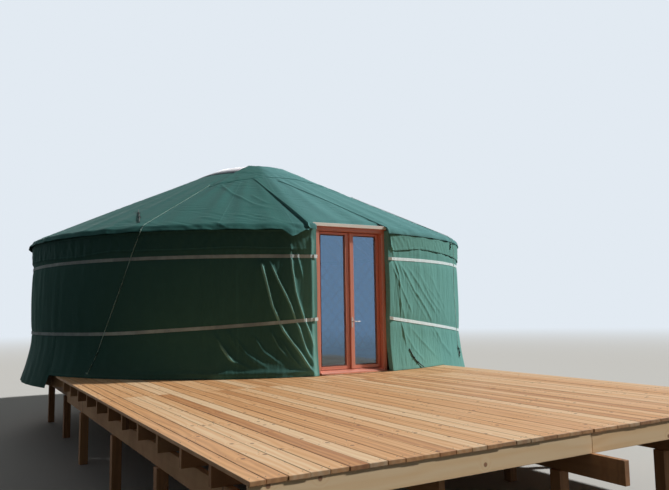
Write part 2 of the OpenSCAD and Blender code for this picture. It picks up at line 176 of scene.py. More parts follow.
@dataclass
class Surface:
    """Points, blocks of faces with one corner count each, and what each point carries."""

    points: Floats
    faces: list[Floats]
    marks: dict[str, Floats] = field(default_factory=dict)

    @staticmethod
    def joined(parts: Sequence["Surface"]) -> "Surface":
        """One surface of several that carry the same marks."""
        faces: list[Floats] = []
        start = 0
        for part in parts:
            faces += [block + start for block in part.faces]
            start += len(part.points)
        marks = {name: np.concatenate([p.marks[name] for p in parts]) for name in parts[0].marks}
        return Surface(np.concatenate([p.points for p in parts]), faces, marks)

    def outwards(self) -> "Surface":
        """The same closed surface, its faces turned over if the volume that they enclose is negative."""
        volume = 0.0
        for block in self.faces:
            a = self.points[block[:, 0]]
            for k in range(1, block.shape[1] - 1):
                b, c = self.points[block[:, k]], self.points[block[:, k + 1]]
                volume += float(np.einsum("ij,ij->", a, np.cross(b, c)))
        if volume < 0:
            self.faces = [block[:, ::-1] for block in self.faces]
        return self

    def object(self, name: str, rounded: bool) -> bpy.types.Object:
        """Makes the Blender object, at the origin, and links it to the scene.

        Args:
            name: Name of the piece.
            rounded: True for smooth shading.
        Returns:
            The new object.
        """
        mesh = bpy.data.meshes.new(name)
        loops = np.concatenate([block.ravel() for block in self.faces]).astype(np.int32)
        sizes = np.concatenate([np.full(len(block), block.shape[1]) for block in self.faces])
        mesh.vertices.add(len(self.points))
        mesh.vertices.foreach_set("co", self.points.astype(np.float32).ravel())
        mesh.loops.add(len(loops))
        mesh.loops.foreach_set("vertex_index", loops)
        mesh.polygons.add(len(sizes))
        mesh.polygons.foreach_set("loop_start", (np.cumsum(sizes) - sizes).astype(np.int32))
        mesh.polygons.foreach_set("use_smooth", np.full(len(sizes), rounded))
        mesh.update(calc_edges=True)
        for key, values in self.marks.items():
            values = values.astype(np.float32)
            if key == "uv":
                mesh.uv_layers.new(name="UVMap").data.foreach_set("uv", values[loops].ravel())
                continue
            kind, slot = ("FLOAT_VECTOR", "vector") if values.ndim == 2 else ("FLOAT", "value")
            mesh.attributes.new(key, kind, "POINT").data.foreach_set(slot, values.ravel())
        mesh.validate()
        made = bpy.data.objects.new(name, mesh)
        bpy.context.scene.collection.objects.link(made)
        return made


def sheet_grid(points: Floats, marks: dict[str, Floats], flip: bool = False,
               closed: bool = False) -> Surface:
    """An open surface from a grid of points: face (i, j) joins point (i, j) to its neighbours.

    Args:
        points: Rows x columns x 3.
        marks: Rows x columns arrays, or rows x columns x 2 or 3.
        flip: Turns the faces over.
        closed: Joins the last column to the first.
    Returns:
        The surface.
    """
    rows, cols = points.shape[:2]
    i, j = np.meshgrid(np.arange(rows - 1), np.arange(cols if closed else cols - 1), indexing="ij")
    a, b = i * cols + j, i * cols + (j + 1) % cols
    quads = np.stack([a, b, b + cols, a + cols], -1).reshape(-1, 4)
    flat = {k: v.reshape(rows * cols, -1) if v.ndim == 3 else v.ravel() for k, v in marks.items()}
    return Surface(points.reshape(-1, 3), [quads[:, ::-1] if flip else quads], flat)


def tubes(points: Floats, marks: dict[str, Floats], ends: bool = True) -> Surface:
    """Many closed tubes at once, each a row of rings.

    Args:
        points: Tubes x rings x points of a ring x 3.
        marks: Arrays of the first three of those sizes, and a fourth for vectors.
        ends: True to close the ends with a face each.
    Returns:
        The surface, with its faces pointing outwards.
    """
    count, rows, cols = points.shape[:3]
    t, i, j = np.meshgrid(np.arange(count), np.arange(rows - 1), np.arange(cols), indexing="ij")
    a = (t * rows + i) * cols + j
    b = (t * rows + i) * cols + (j + 1) % cols
    faces = [np.stack([a, b, b + cols, a + cols], -1).reshape(-1, 4)]
    if ends:
        first = (np.arange(count) * rows * cols)[:, None] + np.arange(cols)
        faces += [first[:, ::-1], first + (rows - 1) * cols]
    total = count * rows * cols
    flat = {k: v.reshape(total, -1) if v.ndim == 4 else v.reshape(total) for k, v in marks.items()}
    return Surface(points.reshape(-1, 3), faces, flat).outwards()


def wood_marks(grain: Floats, tone: Floats | float = 0.5) -> dict[str, Floats]:
    """Marks of a piece of wood whose edges aren't rubbed: where its grain is, and its tone."""
    shape = grain.shape[:-1]
    return {"grain": grain, "tone": np.broadcast_to(tone, shape), "rub": np.zeros(shape)}


EASED_POINTS = np.array([1, 1, 1, 1, 0, 0, 1, 1, 1, 1, 0, 0], float)


def eased(half: Floats, low: Floats, high: Floats, ease: float, inner: float) -> tuple[Floats, Floats]:
    """A rectangle of 12 points with its corners taken off, on the last axis of the arrays.

    Args:
        half: Half widths.
        low, high: Heights of the lower and the upper side.
        ease: How much is taken off.
        inner: Distance from the sides to the next points inwards.
    Returns:
        Places across, and heights.
    """
    across = (half - ease, half, half, half - ease, half - inner, inner - half, ease - half, -half, -half,
              ease - half, inner - half, half - inner)
    level = (low, low + ease, high - ease, high, high, high, high, high - ease, low + ease, low, low, low)
    return np.concatenate(across, -1), np.concatenate(level, -1)


def end_rings(share: Floats, shift: Floats, ease: float) -> tuple[Floats, Floats]:
    """How far each ring of a bar is drawn in, and whether it is rubbed, by its share and shift."""
    at_end = share % 1 == 0
    return (ease * (at_end & (shift == 0)))[:, None], (at_end & (np.abs(shift) <= ease))[:, None]


def bars(start: Floats, end: Floats, side: Floats, width: float, depth: float, ease: float, seed: int,
         tone: tuple[float, float] = (0.2, 0.8), bends: int = 1) -> Surface:
    """Sawn and planed bars with eased edges: a rectangle carried from start to end, all at once.

    Args:
        start, end: Ends of the bars' middle lines, bars x 3.
        side: Direction of the width, one for all or one for each.
        width, depth: Size across.
        ease: How far edges are taken off.
        seed: Draw of each bar's grain and tone.
        tone: Range of the tones, from dark, 0, to pale, 1.
        bends: Number of rings between the ends.
    Returns:
        The bars, with the marks of wood.
    """
    start, end = np.atleast_2d(start).astype(float), np.atleast_2d(end).astype(float)
    count, draw, inner = len(start), np.random.default_rng(seed), 4 * ease
    length = np.linalg.norm(end - start, axis=1, keepdims=True)
    along = (end - start) / length
    side = np.broadcast_to(np.asarray(side, float), (count, 3))
    side = side - along * np.einsum("ij,ij->i", side, along)[:, None]
    side = side / np.linalg.norm(side, axis=1, keepdims=True)
    up = np.cross(along, side)
    half_w, half_d = np.full((count, 1), width / 2), np.full((count, 1), depth / 2)
    px, py = eased(half_w, -half_d, half_d, ease, inner)
    middle = np.linspace(0, 1, bends + 2)[1:-1]
    share = np.concatenate([[0, 0, 0], middle, [1, 1, 1]])
    shift = np.concatenate([[0, ease, inner], inner * (1 - 2 * middle), [-inner, -ease, 0]])
    s = (share * length + shift)[..., None]
    draw_in, end_rub = end_rings(share, shift, ease)
    ax, ay = (np.sign(p)[:, None] * np.maximum(np.abs(p)[:, None] - draw_in, 0) for p in (px, py))
    points = (start[:, None, None] + s[..., None] * along[:, None, None]
              + ax[..., None] * side[:, None, None] + ay[..., None] * up[:, None, None])
    grain = spread(s, ax, ay) + draw.uniform(-20, 20, (count, 1, 1, 3))
    tones = np.broadcast_to(draw.uniform(*tone, (count, 1, 1)), ax.shape)
    rub = np.broadcast_to(np.maximum(EASED_POINTS, end_rub), ax.shape)
    return tubes(points, {"grain": grain, "tone": tones, "rub": rub})


def block(low: Sequence[float], high: Sequence[float], along: int, across: int, ease: float, seed: int,
          tone: tuple[float, float], bends: int = 3) -> Surface:
    """A bar that fills a box.

    Args:
        low, high: Corners of the box.
        along, across: Axes of its length and of its width, 0 to 2.
        ease, seed, tone, bends: As for bars.
    Returns:
        The bar.
    """
    size, start = np.array(high) - np.array(low), (np.array(low) + np.array(high)) / 2
    end = start.copy()
    start[along], end[along] = low[along], high[along]
    return bars(start, end, np.eye(3)[across], size[across], size[3 - along - across], ease, seed, tone,
                bends)


def planks(edges: Floats, front: Callable[[Floats], Floats], back: Callable[[Floats], Floats],
           thick: float, ease: float, seed: int, tones: Floats, rings: int = 7) -> Surface:
    """Planks of the floor that run along Y, with ends that follow two curves.

    Each is a rectangle of 12 points carried from front(x) to back(x), x being the point's own,
    so that a curved end is cut as a saw would cut it. Slight warp lifts it by a millimetre.

    Args:
        edges: Left and right edge of each plank, planks x 2.
        front, back: Y of the two ends for an X.
        thick: Thickness.
        ease: How far edges are taken off.
        seed: Draw of grain and warp.
        tones: Tone of each plank.
        rings: Rings along the plank.
    Returns:
        The planks, with the marks of wood.
    """
    draw, each, inner = np.random.default_rng(seed), (len(edges), 1, 1), 5 * ease
    middle, half = edges.mean(1)[:, None, None], (edges[:, 1] - edges[:, 0])[:, None, None] / 2
    across, level = eased(half, 0 * half - thick, 0 * half, ease, inner)
    share = np.concatenate([[0, 0, 0], np.linspace(0, 1, rings)[1:-1], [1, 1, 1]])
    shift = np.array([0, ease, inner] + [0] * (rings - 2) + [-inner, -ease, 0])
    draw_in, end_rub = end_rings(share, shift, ease)
    share, shift = share[:, None], shift[:, None]
    px = np.sign(across) * np.maximum(np.abs(across) - draw_in, 0)
    x = middle + px
    y = front(x) * (1 - share) + back(x) * share + shift
    bow = draw.uniform(-0.0012, 0.0012, each) * np.sin(math.pi * share)
    twist = draw.uniform(-0.012, 0.012, each) * (share - 0.5) * px
    z = FLOOR + np.clip(level, -thick + draw_in, -draw_in) + bow + twist
    return tubes(spread(x, y, z), {
        "grain": spread(y, px, level) + draw.uniform(-20, 20, (*each, 3)),
        "tone": np.broadcast_to(tones[:, None, None], x.shape),
        "rub": np.broadcast_to(np.maximum(EASED_POINTS, end_rub), x.shape)})


def turned(profile: Line, sides: int) -> Surface:
    """A round piece about Z, whose grain follows the turning.

    Args:
        profile: Points (radius, height above the ground) that go round the axis.
        sides: Number of points round it.
    Returns:
        The piece, with its ends closed.
    """
    r, z = np.array(profile, float).T[..., None]
    turn = ring(sides)
    return tubes(around(np.degrees(turn), r, z - FLOOR)[None], wood_marks(spread(r * turn, r, z)[None]),
                 ends=bool(r[0] > 0 and r[-1] > 0))


def studs(at: Floats, side: Floats, up: Floats, radii: Sequence[float],
          heights: Sequence[float]) -> Surface:
    """Small round heads, such as screws: rings of eight points, from the outermost to the middle.

    Args:
        at: Middle of each, heads x 3.
        side, up: Two directions along what they sit on, one for all or one for each.
        radii, heights: Of the rings.
    Returns:
        All the heads.
    """
    side, up = np.broadcast_to(side, at.shape), np.broadcast_to(up, at.shape)
    out = np.cross(side, up)[:, None, None] * np.array(heights)[:, None, None]
    r, turn = np.array(radii)[:, None], ring(8)
    return tubes(at[:, None, None] + (r * np.cos(turn))[..., None] * side[:, None, None]
                 + (r * np.sin(turn))[..., None] * up[:, None, None] + out, {})


def path_run(path: Floats) -> Floats:
    """Distance of each point of a path from its start."""
    return np.concatenate([[0], np.cumsum(np.linalg.norm(np.diff(path, axis=0), axis=1))])


def carried(path: Floats, profile: Floats, up: Sequence[float] | Floats = (0, 0, 1),
            scale: Floats | float = 1.0, turn: Floats | float = 0.0, ends: bool = True) -> Surface:
    """A profile carried along a path: point = path + side * x + normal * y, turned about the path.

    Args:
        path: Points of the path, rings x 3.
        profile: Points of the section, points x 2.
        up: Direction that the section's y keeps to, or one for each ring.
        scale: Size of the section along the path.
        turn: Turn of the section along the path, in radians.
        ends: True to close the ends.
    Returns:
        The tube, with the marks of wood and a UV map along it.
    """
    ahead = np.gradient(path, axis=0)
    ahead /= np.linalg.norm(ahead, axis=1, keepdims=True)
    side = np.cross(ahead, np.broadcast_to(np.asarray(up, float), path.shape))
    side /= np.linalg.norm(side, axis=1, keepdims=True)
    normal = np.cross(side, ahead)
    turn = np.broadcast_to(turn, len(path))[:, None]
    scale = np.broadcast_to(scale, len(path))[:, None]
    px = (profile[:, 0] * np.cos(turn) - profile[:, 1] * np.sin(turn)) * scale
    py = (profile[:, 0] * np.sin(turn) + profile[:, 1] * np.cos(turn)) * scale
    points = path[:, None] + px[..., None] * side[:, None] + py[..., None] * normal[:, None]
    run = path_run(path)[:, None]
    lay = np.linspace(0, 0.05, len(profile), endpoint=False)
    marks = {**wood_marks(spread(run, px, py)[None]), "uv": spread(run, lay)[None]}
    return tubes(points[None], marks, ends)


def circle(radius: float, sides: int) -> Floats:
    """Points of a round section."""
    return spread(radius * np.cos(ring(sides)), radius * np.sin(ring(sides)))


def soft_box(width: float, depth: float, ease: float) -> Floats:
    """Points of a rectangle with corners rounded by two steps."""
    w, d, e, h = width / 2, depth / 2, ease, ease * 0.3
    quarter = np.array([(w, d - e), (w - h, d - h), (w - e, d)])
    right = np.concatenate([quarter, quarter[::-1] * (-1, 1)])
    return np.concatenate([right, right[::-1] * (1, -1)])


# Node trees


class Sketch:
    """Writes one tree of shader nodes."""

    # direction in plan towards the key light; the painted light and shade of the cloth and belts follow it
    key_light_side: ClassVar[tuple[float, float, float]] = (0.906, -0.423, 0.0)

    def __init__(self, tree: bpy.types.NodeTree) -> None:
        """Starts on an empty or a filled tree."""
        self.tree = tree

    @staticmethod
    def on(owner: bpy.types.Material | bpy.types.World) -> "Sketch":
        """A sketch on the emptied tree of a material or a world."""
        owner.use_nodes = True
        owner.node_tree.nodes.clear()
        return Sketch(owner.node_tree)

    def node(self, kind: str, feeds: dict[Any, Any] | None = None, **settings: Any) -> bpy.types.Node:
        """Adds a node.

        Args:
            kind: Blender's type of node.
            feeds: What each input takes: another node's output, or a value.
            settings: The node's own properties.
        Returns:
            The node.
        """
        made = self.tree.nodes.new(kind)
        for name, value in settings.items():
            setattr(made, name, value)
        return self.feed(made, feeds or {})

    def feed(self, node: bpy.types.Node, feeds: dict[Any, Any]) -> bpy.types.Node:
        """Links or sets inputs of a node, and gives the node."""
        for name, value in feeds.items():
            if isinstance(value, bpy.types.NodeSocket):
                self.tree.links.new(value, node.inputs[name])
            else:
                node.inputs[name].default_value = value
        return node

    def shared(self, name: str, feeds: dict[str, Any]) -> Any:
        """Places a shared effect with this tree's values, and gives its outputs."""
        return self.node("ShaderNodeGroup", feeds, node_tree=Effects.find(name)).outputs

    def math(self, operation: str, a: Any, b: Any = 0.0, clamp: bool = False) -> Any:
        """One step of arithmetic."""
        return self.node("ShaderNodeMath", {0: a, 1: b}, operation=operation, use_clamp=clamp).outputs[0]

    def plus(self, a: Any, b: Any, clamp: bool = False) -> Any:
        """The sum, kept from 0 to 1 if it is clamped."""
        return self.math("ADD", a, b, clamp)

    def less(self, a: Any, b: Any, clamp: bool = False) -> Any:
        """The difference, kept from 0 to 1 if it is clamped."""
        return self.math("SUBTRACT", a, b, clamp)

    def times(self, a: Any, b: Any, clamp: bool = False) -> Any:
        """The product, kept from 0 to 1 if it is clamped."""
        return self.math("MULTIPLY", a, b, clamp)

    def ease(self, value: Any, low: float, high: float) -> Any:
        """0 at low, 1 at high, smooth between. Low may be above high."""
        feeds = {"Value": value, "From Min": min(low, high), "From Max": max(low, high)}
        out = self.node("ShaderNodeMapRange", feeds, interpolation_type="SMOOTHSTEP").outputs["Result"]
        return self.less(1.0, out) if low > high else out

    def mix(self, factor: Any, a: Any, b: Any) -> Any:
        """Mixes two colours."""
        return self.node("ShaderNodeMix", {0: factor, 6: a, 7: b}, data_type="RGBA").outputs[2]

    def scaled(self, vector: Any, factors: tuple[float, float, float]) -> Any:
        """Multiplies a vector by axis."""
        feeds = {0: vector, 1: factors, 2: (0, 0, 0)}
        return self.node("ShaderNodeVectorMath", feeds, operation="MULTIPLY_ADD").outputs[0]

    def split(self, vector: Any) -> Any:
        """The three parts of a vector."""
        return self.node("ShaderNodeSeparateXYZ", {0: vector}).outputs

    def noise(self, vector: Any, scale: float, detail: float = 2.0, rough: float = 0.55) -> Any:
        """Fractal noise, about 0.5 in the middle."""
        feeds = {"Vector": vector, "Scale": scale, "Detail": detail, "Roughness": rough}
        return self.node("ShaderNodeTexNoise", feeds).outputs["Fac"]

    def lit_side(self, place: Any) -> Any:
        """1 on the side of the yurt that the key light falls on, 0 on the other, from the azimuth alone:
        the mask of painted light and shade.
        """
        level = self.node("ShaderNodeVectorMath", {0: self.scaled(place, (1, 1, 0))}, operation="NORMALIZE")
        facing = self.node("ShaderNodeVectorMath", {0: level.outputs[0], 1: self.key_light_side},
                           operation="DOT_PRODUCT").outputs["Value"]
        return self.ease(facing, 0.11, 0.34)

    def mark(self, name: str, output: str = "Fac") -> Any:
        """What the mesh's points carry under a name."""
        return self.node("ShaderNodeAttribute", attribute_name=name).outputs[output]

    def place(self) -> Any:
        """Place on the object, in metres."""
        return self.node("ShaderNodeTexCoord").outputs["Object"]

    def cloth(self) -> Any:
        """Place on the cloth or along the cord, in metres."""
        return self.node("ShaderNodeUVMap", uv_map="UVMap").outputs["UV"]

    def bump(self, height: Any, distance: float, strength: float = 1.0, normal: Any = None) -> Any:
        """Normal of a relief of this depth in metres."""
        feeds = {"Height": height, "Distance": distance, "Strength": strength}
        if normal is not None:
            feeds["Normal"] = normal
        return self.node("ShaderNodeBump", feeds).outputs["Normal"]

    def seen(self, *kinds: str) -> Any:
        """1 for the camera's own rays and the further kinds."""
        path = self.node("ShaderNodeLightPath").outputs
        out = path["Is Camera Ray"]
        for kind in kinds:
            out = self.math("MAXIMUM", out, path[kind])
        return out


class Effects:
    """Shader groups that several finishes share, each made once."""

    @staticmethod
    def find(name: str) -> bpy.types.NodeTree:
        """The group of this name, made on its first use by the method of the same name."""
        return bpy.data.node_groups.get(name) or getattr(Effects, name.replace(" ", "_"))(name)

    @staticmethod
    def start(name: str, inputs: dict[str, float | None],
              outputs: Sequence[str]) -> tuple[Sketch, Any, bpy.types.Node]:
        """Starts a group with named sockets.

        Args:
            name: Name of the group.
            inputs: First value of each input, None for a vector.
            outputs: Name of each output, all of them values.
        Returns:
            A sketch of the group, what comes into it, and its output node.
        """
        tree = bpy.data.node_groups.new(name, "ShaderNodeTree")
        for label, value in inputs.items():
            kind = "NodeSocketVector" if value is None else "NodeSocketFloat"
            socket = tree.interface.new_socket(label, in_out="INPUT", socket_type=kind)
            if value is not None:
                socket.default_value = value
        for label in outputs:
            tree.interface.new_socket(label, in_out="OUTPUT", socket_type="NodeSocketFloat")
        s = Sketch(tree)
        return s, s.node("NodeGroupInput").outputs, s.node("NodeGroupOutput")

    @staticmethod
    def wood_figure(name: str) -> bpy.types.NodeTree:
        """Sawn softwood: growth rings cut lengthwise, fine grain, and round knots they flow past."""
        s, given, out = Effects.start(name, {"Position": None, "Rings": 22.0, "Knots": 0.35},
                                      ["Figure", "Knot", "Height"])
        at = given["Position"]
        cell = s.node("ShaderNodeTexVoronoi", {"Vector": s.scaled(at, (1, 1, 0)), "Scale": 4.5},
                      voronoi_dimensions="2D").outputs
        chosen = s.math("LESS_THAN", s.node("ShaderNodeSeparateColor", {0: cell["Color"]}).outputs[0],
                        given["Knots"])
        near = s.times(s.ease(cell["Distance"], 0.30, 0.02), chosen)
        knot = s.times(s.ease(cell["Distance"], 0.085, 0.05), chosen)
        bend = s.plus(s.noise(s.scaled(at, (0.9, 5, 5)), 1.0, 2.0), s.times(near, 0.6))
        lines = s.math("SINE", s.plus(s.times(s.split(at)[1], s.times(given["Rings"], 6.2832)),
                                      s.times(bend, 16.0)))
        streak = s.noise(s.scaled(at, (0.7, 26, 26)), 1.0, 3.0)
        fine = s.noise(s.scaled(at, (7, 260, 260)), 1.0, 2.0)
        figure = s.plus(s.times(lines, 0.2), s.plus(s.times(streak, 0.75), s.times(fine, 0.35)))
        s.feed(out, {"Figure": s.less(figure, 0.05, True), "Knot": knot,
                     "Height": s.plus(s.times(figure, 0.5), s.times(knot, 0.4))})
        return s.tree

    @staticmethod
    def plain_weave(name: str) -> bpy.types.NodeTree:
        """Threads that pass over and under each other, on coordinates in metres along the cloth."""
        s, given, out = Effects.start(name, {"Cloth": None, "Threads": 700.0}, ["Height", "Shade"])
        turns = s.node("ShaderNodeVectorMath", {0: given["Cloth"]}, operation="SCALE")
        s.feed(turns, {"Scale": s.times(given["Threads"], math.pi)})
        split = s.split(turns.outputs[0])
        warp, weft = s.math("SINE", split[0]), s.math("SINE", split[1])
        over = s.math("GREATER_THAN", s.times(warp, weft), 0.0)
        height = s.plus(s.times(s.math("ABSOLUTE", warp), over),
                        s.times(s.math("ABSOLUTE", weft), s.less(1.0, over)))
        slub = s.noise(s.scaled(given["Cloth"], (9, 160, 1)), 1.0, 2.0)
        s.feed(out, {"Height": height, "Shade": s.plus(s.times(height, 0.35), s.times(slub, 0.6))})
        return s.tree

    @staticmethod
    def weathering(name: str) -> bpy.types.NodeTree:
        """Soft patches of fading and dust, in three sizes."""
        s, given, out = Effects.start(name, {"Position": None}, ["Patches", "Specks"])
        wide, close = s.noise(given["Position"], 0.9, 3.0), s.noise(given["Position"], 6.0, 3.0)
        s.feed(out, {"Patches": s.ease(s.plus(s.times(wide, 0.7), s.times(close, 0.3)), 0.35, 0.68),
                     "Specks": s.ease(s.noise(given["Position"], 70.0, 2.0), 0.62, 0.75)})
        return s.tree

    @staticmethod
    def stitch_row(name: str) -> bpy.types.NodeTree:
        """Thread of a seam: two rows of stitches at 8 mm from a line, from the distance to it."""
        s, given, out = Effects.start(name, {"Distance": 1.0, "Along": 0.0}, ["Thread", "Ridge"])
        off = s.math("ABSOLUTE", s.less(s.math("ABSOLUTE", given["Distance"]), 0.008))
        dash = s.math("GREATER_THAN", s.math("SINE", s.times(given["Along"], 900.0)), -0.5)
        s.feed(out, {"Thread": s.times(s.ease(off, 0.0022, 0.0008), dash),
                     "Ridge": s.ease(s.math("ABSOLUTE", given["Distance"]), 0.016, 0.012)})
        return s.tree


# Finishes


class Slot(Enum):
    """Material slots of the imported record."""

    PLANKS = "planks"
    TIMBER = "timber"
    DOOR = "door_wood"
    LATTICE = "lattice_wood"
    METAL = "metal"
    GLASS = "glass"
    CAP = "clear_cap"
    ROOF = "roof_cloth"
    WALL = "wall_cloth"
    WEBBING = "webbing"
    ROPE = "rope"


@dataclass(frozen=True)
class Finish:
    """What every finish has: a name, the slot that it stands for, and one Principled shader."""

    name: str
    slot: Slot

    def build(self) -> bpy.types.Material:
        """Makes the material: the shader, fed with what the finish says."""
        made = bpy.data.materials.new(self.name)
        s = Sketch.on(made)
        place = s.place()
        shader = s.node("ShaderNodeBsdfPrincipled",
                        self.feeds(s, place, s.shared("weathering", {"Position": place})))
        s.node("ShaderNodeOutputMaterial", {"Surface": shader.outputs["BSDF"]})
        return made

    def feeds(self, s: Sketch, place: Any, age: Any) -> dict[str, Any]:
        """What each of the shader's inputs takes.

        Args:
            s: Sketch of the material.
            place: Place on the object.
            age: Outputs of the weathering.
        Returns:
            A socket or a value for each input's name.
        """
        raise NotImplementedError


@dataclass(frozen=True)
class Wood(Finish):
    """Wood whose grain follows the marks of its mesh."""

    dark: Colour
    middle: Colour
    pale: Colour
    knot: Colour
    rings: float = 22.0
    knots: float = 0.35
    contrast: float = 0.5
    roughness: float = 0.62
    varnish: float = 0.0
    relief: float = 0.0006
    rubbed: Colour = (0.1, 0.06, 0.035, 1.0)
    rub: float = 0.35

    def feeds(self, s: Sketch, place: Any, age: Any) -> dict[str, Any]:
        """Tone by plank, figure within it, darker knots, and rubbed or grimy edges."""
        wood = s.shared("wood figure", {"Position": s.mark("grain", "Vector"), "Rings": self.rings,
                                        "Knots": self.knots})
        tone = s.plus(s.mark("tone"), s.times(s.less(wood["Figure"], 0.5), self.contrast), True)
        low = s.mix(s.times(tone, 2.0, True), self.dark, self.middle)
        colour = s.mix(s.less(s.times(tone, 2.0), 1.0, True), low, self.pale)
        colour = s.mix(s.times(wood["Knot"], 0.85), colour, self.knot)
        worn = s.times(s.plus(age["Patches"], 0.4), self.rub)
        edge = s.times(s.ease(s.mark("rub"), 0.35, 0.95), worn, True)
        return {"Base Color": s.mix(edge, colour, self.rubbed),
                "Roughness": s.plus(self.roughness - 0.12,
                                    s.times(s.plus(wood["Figure"], age["Patches"]), 0.12)),
                "Coat Weight": self.varnish, "Coat Roughness": 0.22,
                "Normal": s.bump(wood["Height"], self.relief)}


@dataclass(frozen=True)
class Canvas(Finish):
    """Woven cloth with painted light and shade: darker on the side away from the key light, paler on the
    lit side; with patches, dust and stitched seams.
    """

    # colour: painted shade, the cloth's tone on the side away from the key light; the next colour: painted
    # light, its tone on the lit side
    colour: Colour
    painted_lit_colour: Colour
    patch: Colour
    threads: float = 620.0
    fade: float = 0.18
    dust: Colour = (0.35, 0.30, 0.22, 1.0)
    dust_amount: float = 0.0
    # painted highlight: the paler colour on fold tops and on the lip by the left jamb
    worn: Colour = paint(150, 204, 192)
    sheen: float = 0.03
    roughness: float = 0.78
    crease: float = 0.004

    def feeds(self, s: Sketch, place: Any, age: Any) -> dict[str, Any]:
        """Weave on the cloth's own coordinates, patches and creases on the object's."""
        cloth = s.cloth()
        weave = s.shared("plain weave", {"Cloth": cloth, "Threads": self.threads})
        run = s.split(cloth)
        seam = s.shared("stitch row", {"Distance": s.mark("seam"), "Along": s.plus(run[0], run[1])})
        # painted shade and light: the shaded-side colour turns into the lit-side colour with the azimuth
        colour = s.mix(s.lit_side(place), self.colour, self.painted_lit_colour)
        # painted highlight: the tops of folds turn paler
        colour = s.mix(s.times(s.ease(s.mark("painted_ridge_light"), 0.5, 1.0), 0.6), colour, self.worn)
        colour = s.mix(s.times(age["Patches"], self.fade), colour, self.patch)
        colour = s.mix(s.times(s.less(weave["Shade"], 0.45), 0.35, True), colour, (0.0, 0.0, 0.0, 1.0))
        colour = s.mix(s.times(seam["Thread"], 0.5), colour, self.patch)
        low = s.ease(s.split(place)[2], 1.35, 0.95)
        dirt = s.times(s.plus(s.times(low, age["Patches"]), s.times(age["Specks"], 0.15)),
                       self.dust_amount, True)
        crumple = s.plus(s.noise(place, 9.0, 4.0, 0.6), s.times(seam["Ridge"], 0.25))
        return {"Base Color": s.mix(dirt, colour, self.dust),
                "Roughness": s.plus(self.roughness, s.times(age["Patches"], 0.1)),
                "Sheen Weight": self.sheen, "Sheen Roughness": 0.45, "Specular IOR Level": 0.12,
                "Normal": s.bump(weave["Height"], 0.00025, 0.7, s.bump(crumple, self.crease))}


@dataclass(frozen=True)
class Webbing(Finish):
    """Flat woven strap: ribs across it, darker and dustier in patches."""

    colour: Colour
    soiled: Colour
    ribs: float = 450.0
    twist: float = 0.0
    # painted shade: the strap's colour on the side away from the key light
    painted_shade_colour: Colour | None = None

    def feeds(self, s: Sketch, place: Any, age: Any) -> dict[str, Any]:
        """Ribs along the strap, and for a rope the same strands laid at an angle."""
        run = s.split(s.cloth())
        lay = s.plus(run[0], s.times(run[1], self.twist))
        rib = s.math("ABSOLUTE", s.math("SINE", s.times(lay, self.ribs)))
        # painted shade: the shaded-side colour turns into the strap's own with the azimuth
        colour = s.mix(s.lit_side(place), self.painted_shade_colour or self.colour, self.colour)
        colour = s.mix(s.times(age["Patches"], 0.55), colour, self.soiled)
        return {"Base Color": s.mix(s.times(s.less(1.0, rib), 0.3), colour, self.soiled),
                "Roughness": s.plus(0.75, s.times(age["Specks"], 0.15)),
                "Sheen Weight": 0.2, "Normal": s.bump(rib, 0.0008)}


@dataclass(frozen=True)
class Pane(Finish):
    """Glass or clear plastic, with dust and slight waviness."""

    tint: Colour
    reflection: Colour
    ior: float
    through: float
    roughness: float
    dust: Colour = (0.6, 0.6, 0.58, 1.0)

    def feeds(self, s: Sketch, place: Any, age: Any) -> dict[str, Any]:
        """A little dust on it, and a surface that is not quite flat."""
        return {"Base Color": s.mix(s.times(age["Specks"], 0.2), self.tint, self.dust),
                "Roughness": s.plus(self.roughness, s.times(age["Patches"], 0.04)),
                "IOR": self.ior, "Transmission Weight": self.through, "Specular Tint": self.reflection,
                "Normal": s.bump(s.noise(place, 1.6, 1.0), 0.002)}


@dataclass(frozen=True)
class Metal(Finish):
    """Satin metal with fine brushing and dulled patches."""

    colour: Colour
    dull: Colour
    roughness: float = 0.32

    def feeds(self, s: Sketch, place: Any, age: Any) -> dict[str, Any]:
        """Brush lines along Z, duller where it is handled."""
        brush = s.noise(s.scaled(place, (900, 900, 30)), 1.0, 2.0)
        return {"Base Color": s.mix(age["Patches"], self.colour, self.dull),
                "Roughness": s.plus(self.roughness, s.times(brush, 0.15)),
                "Metallic": 1.0, "Normal": s.bump(brush, 0.0002)}


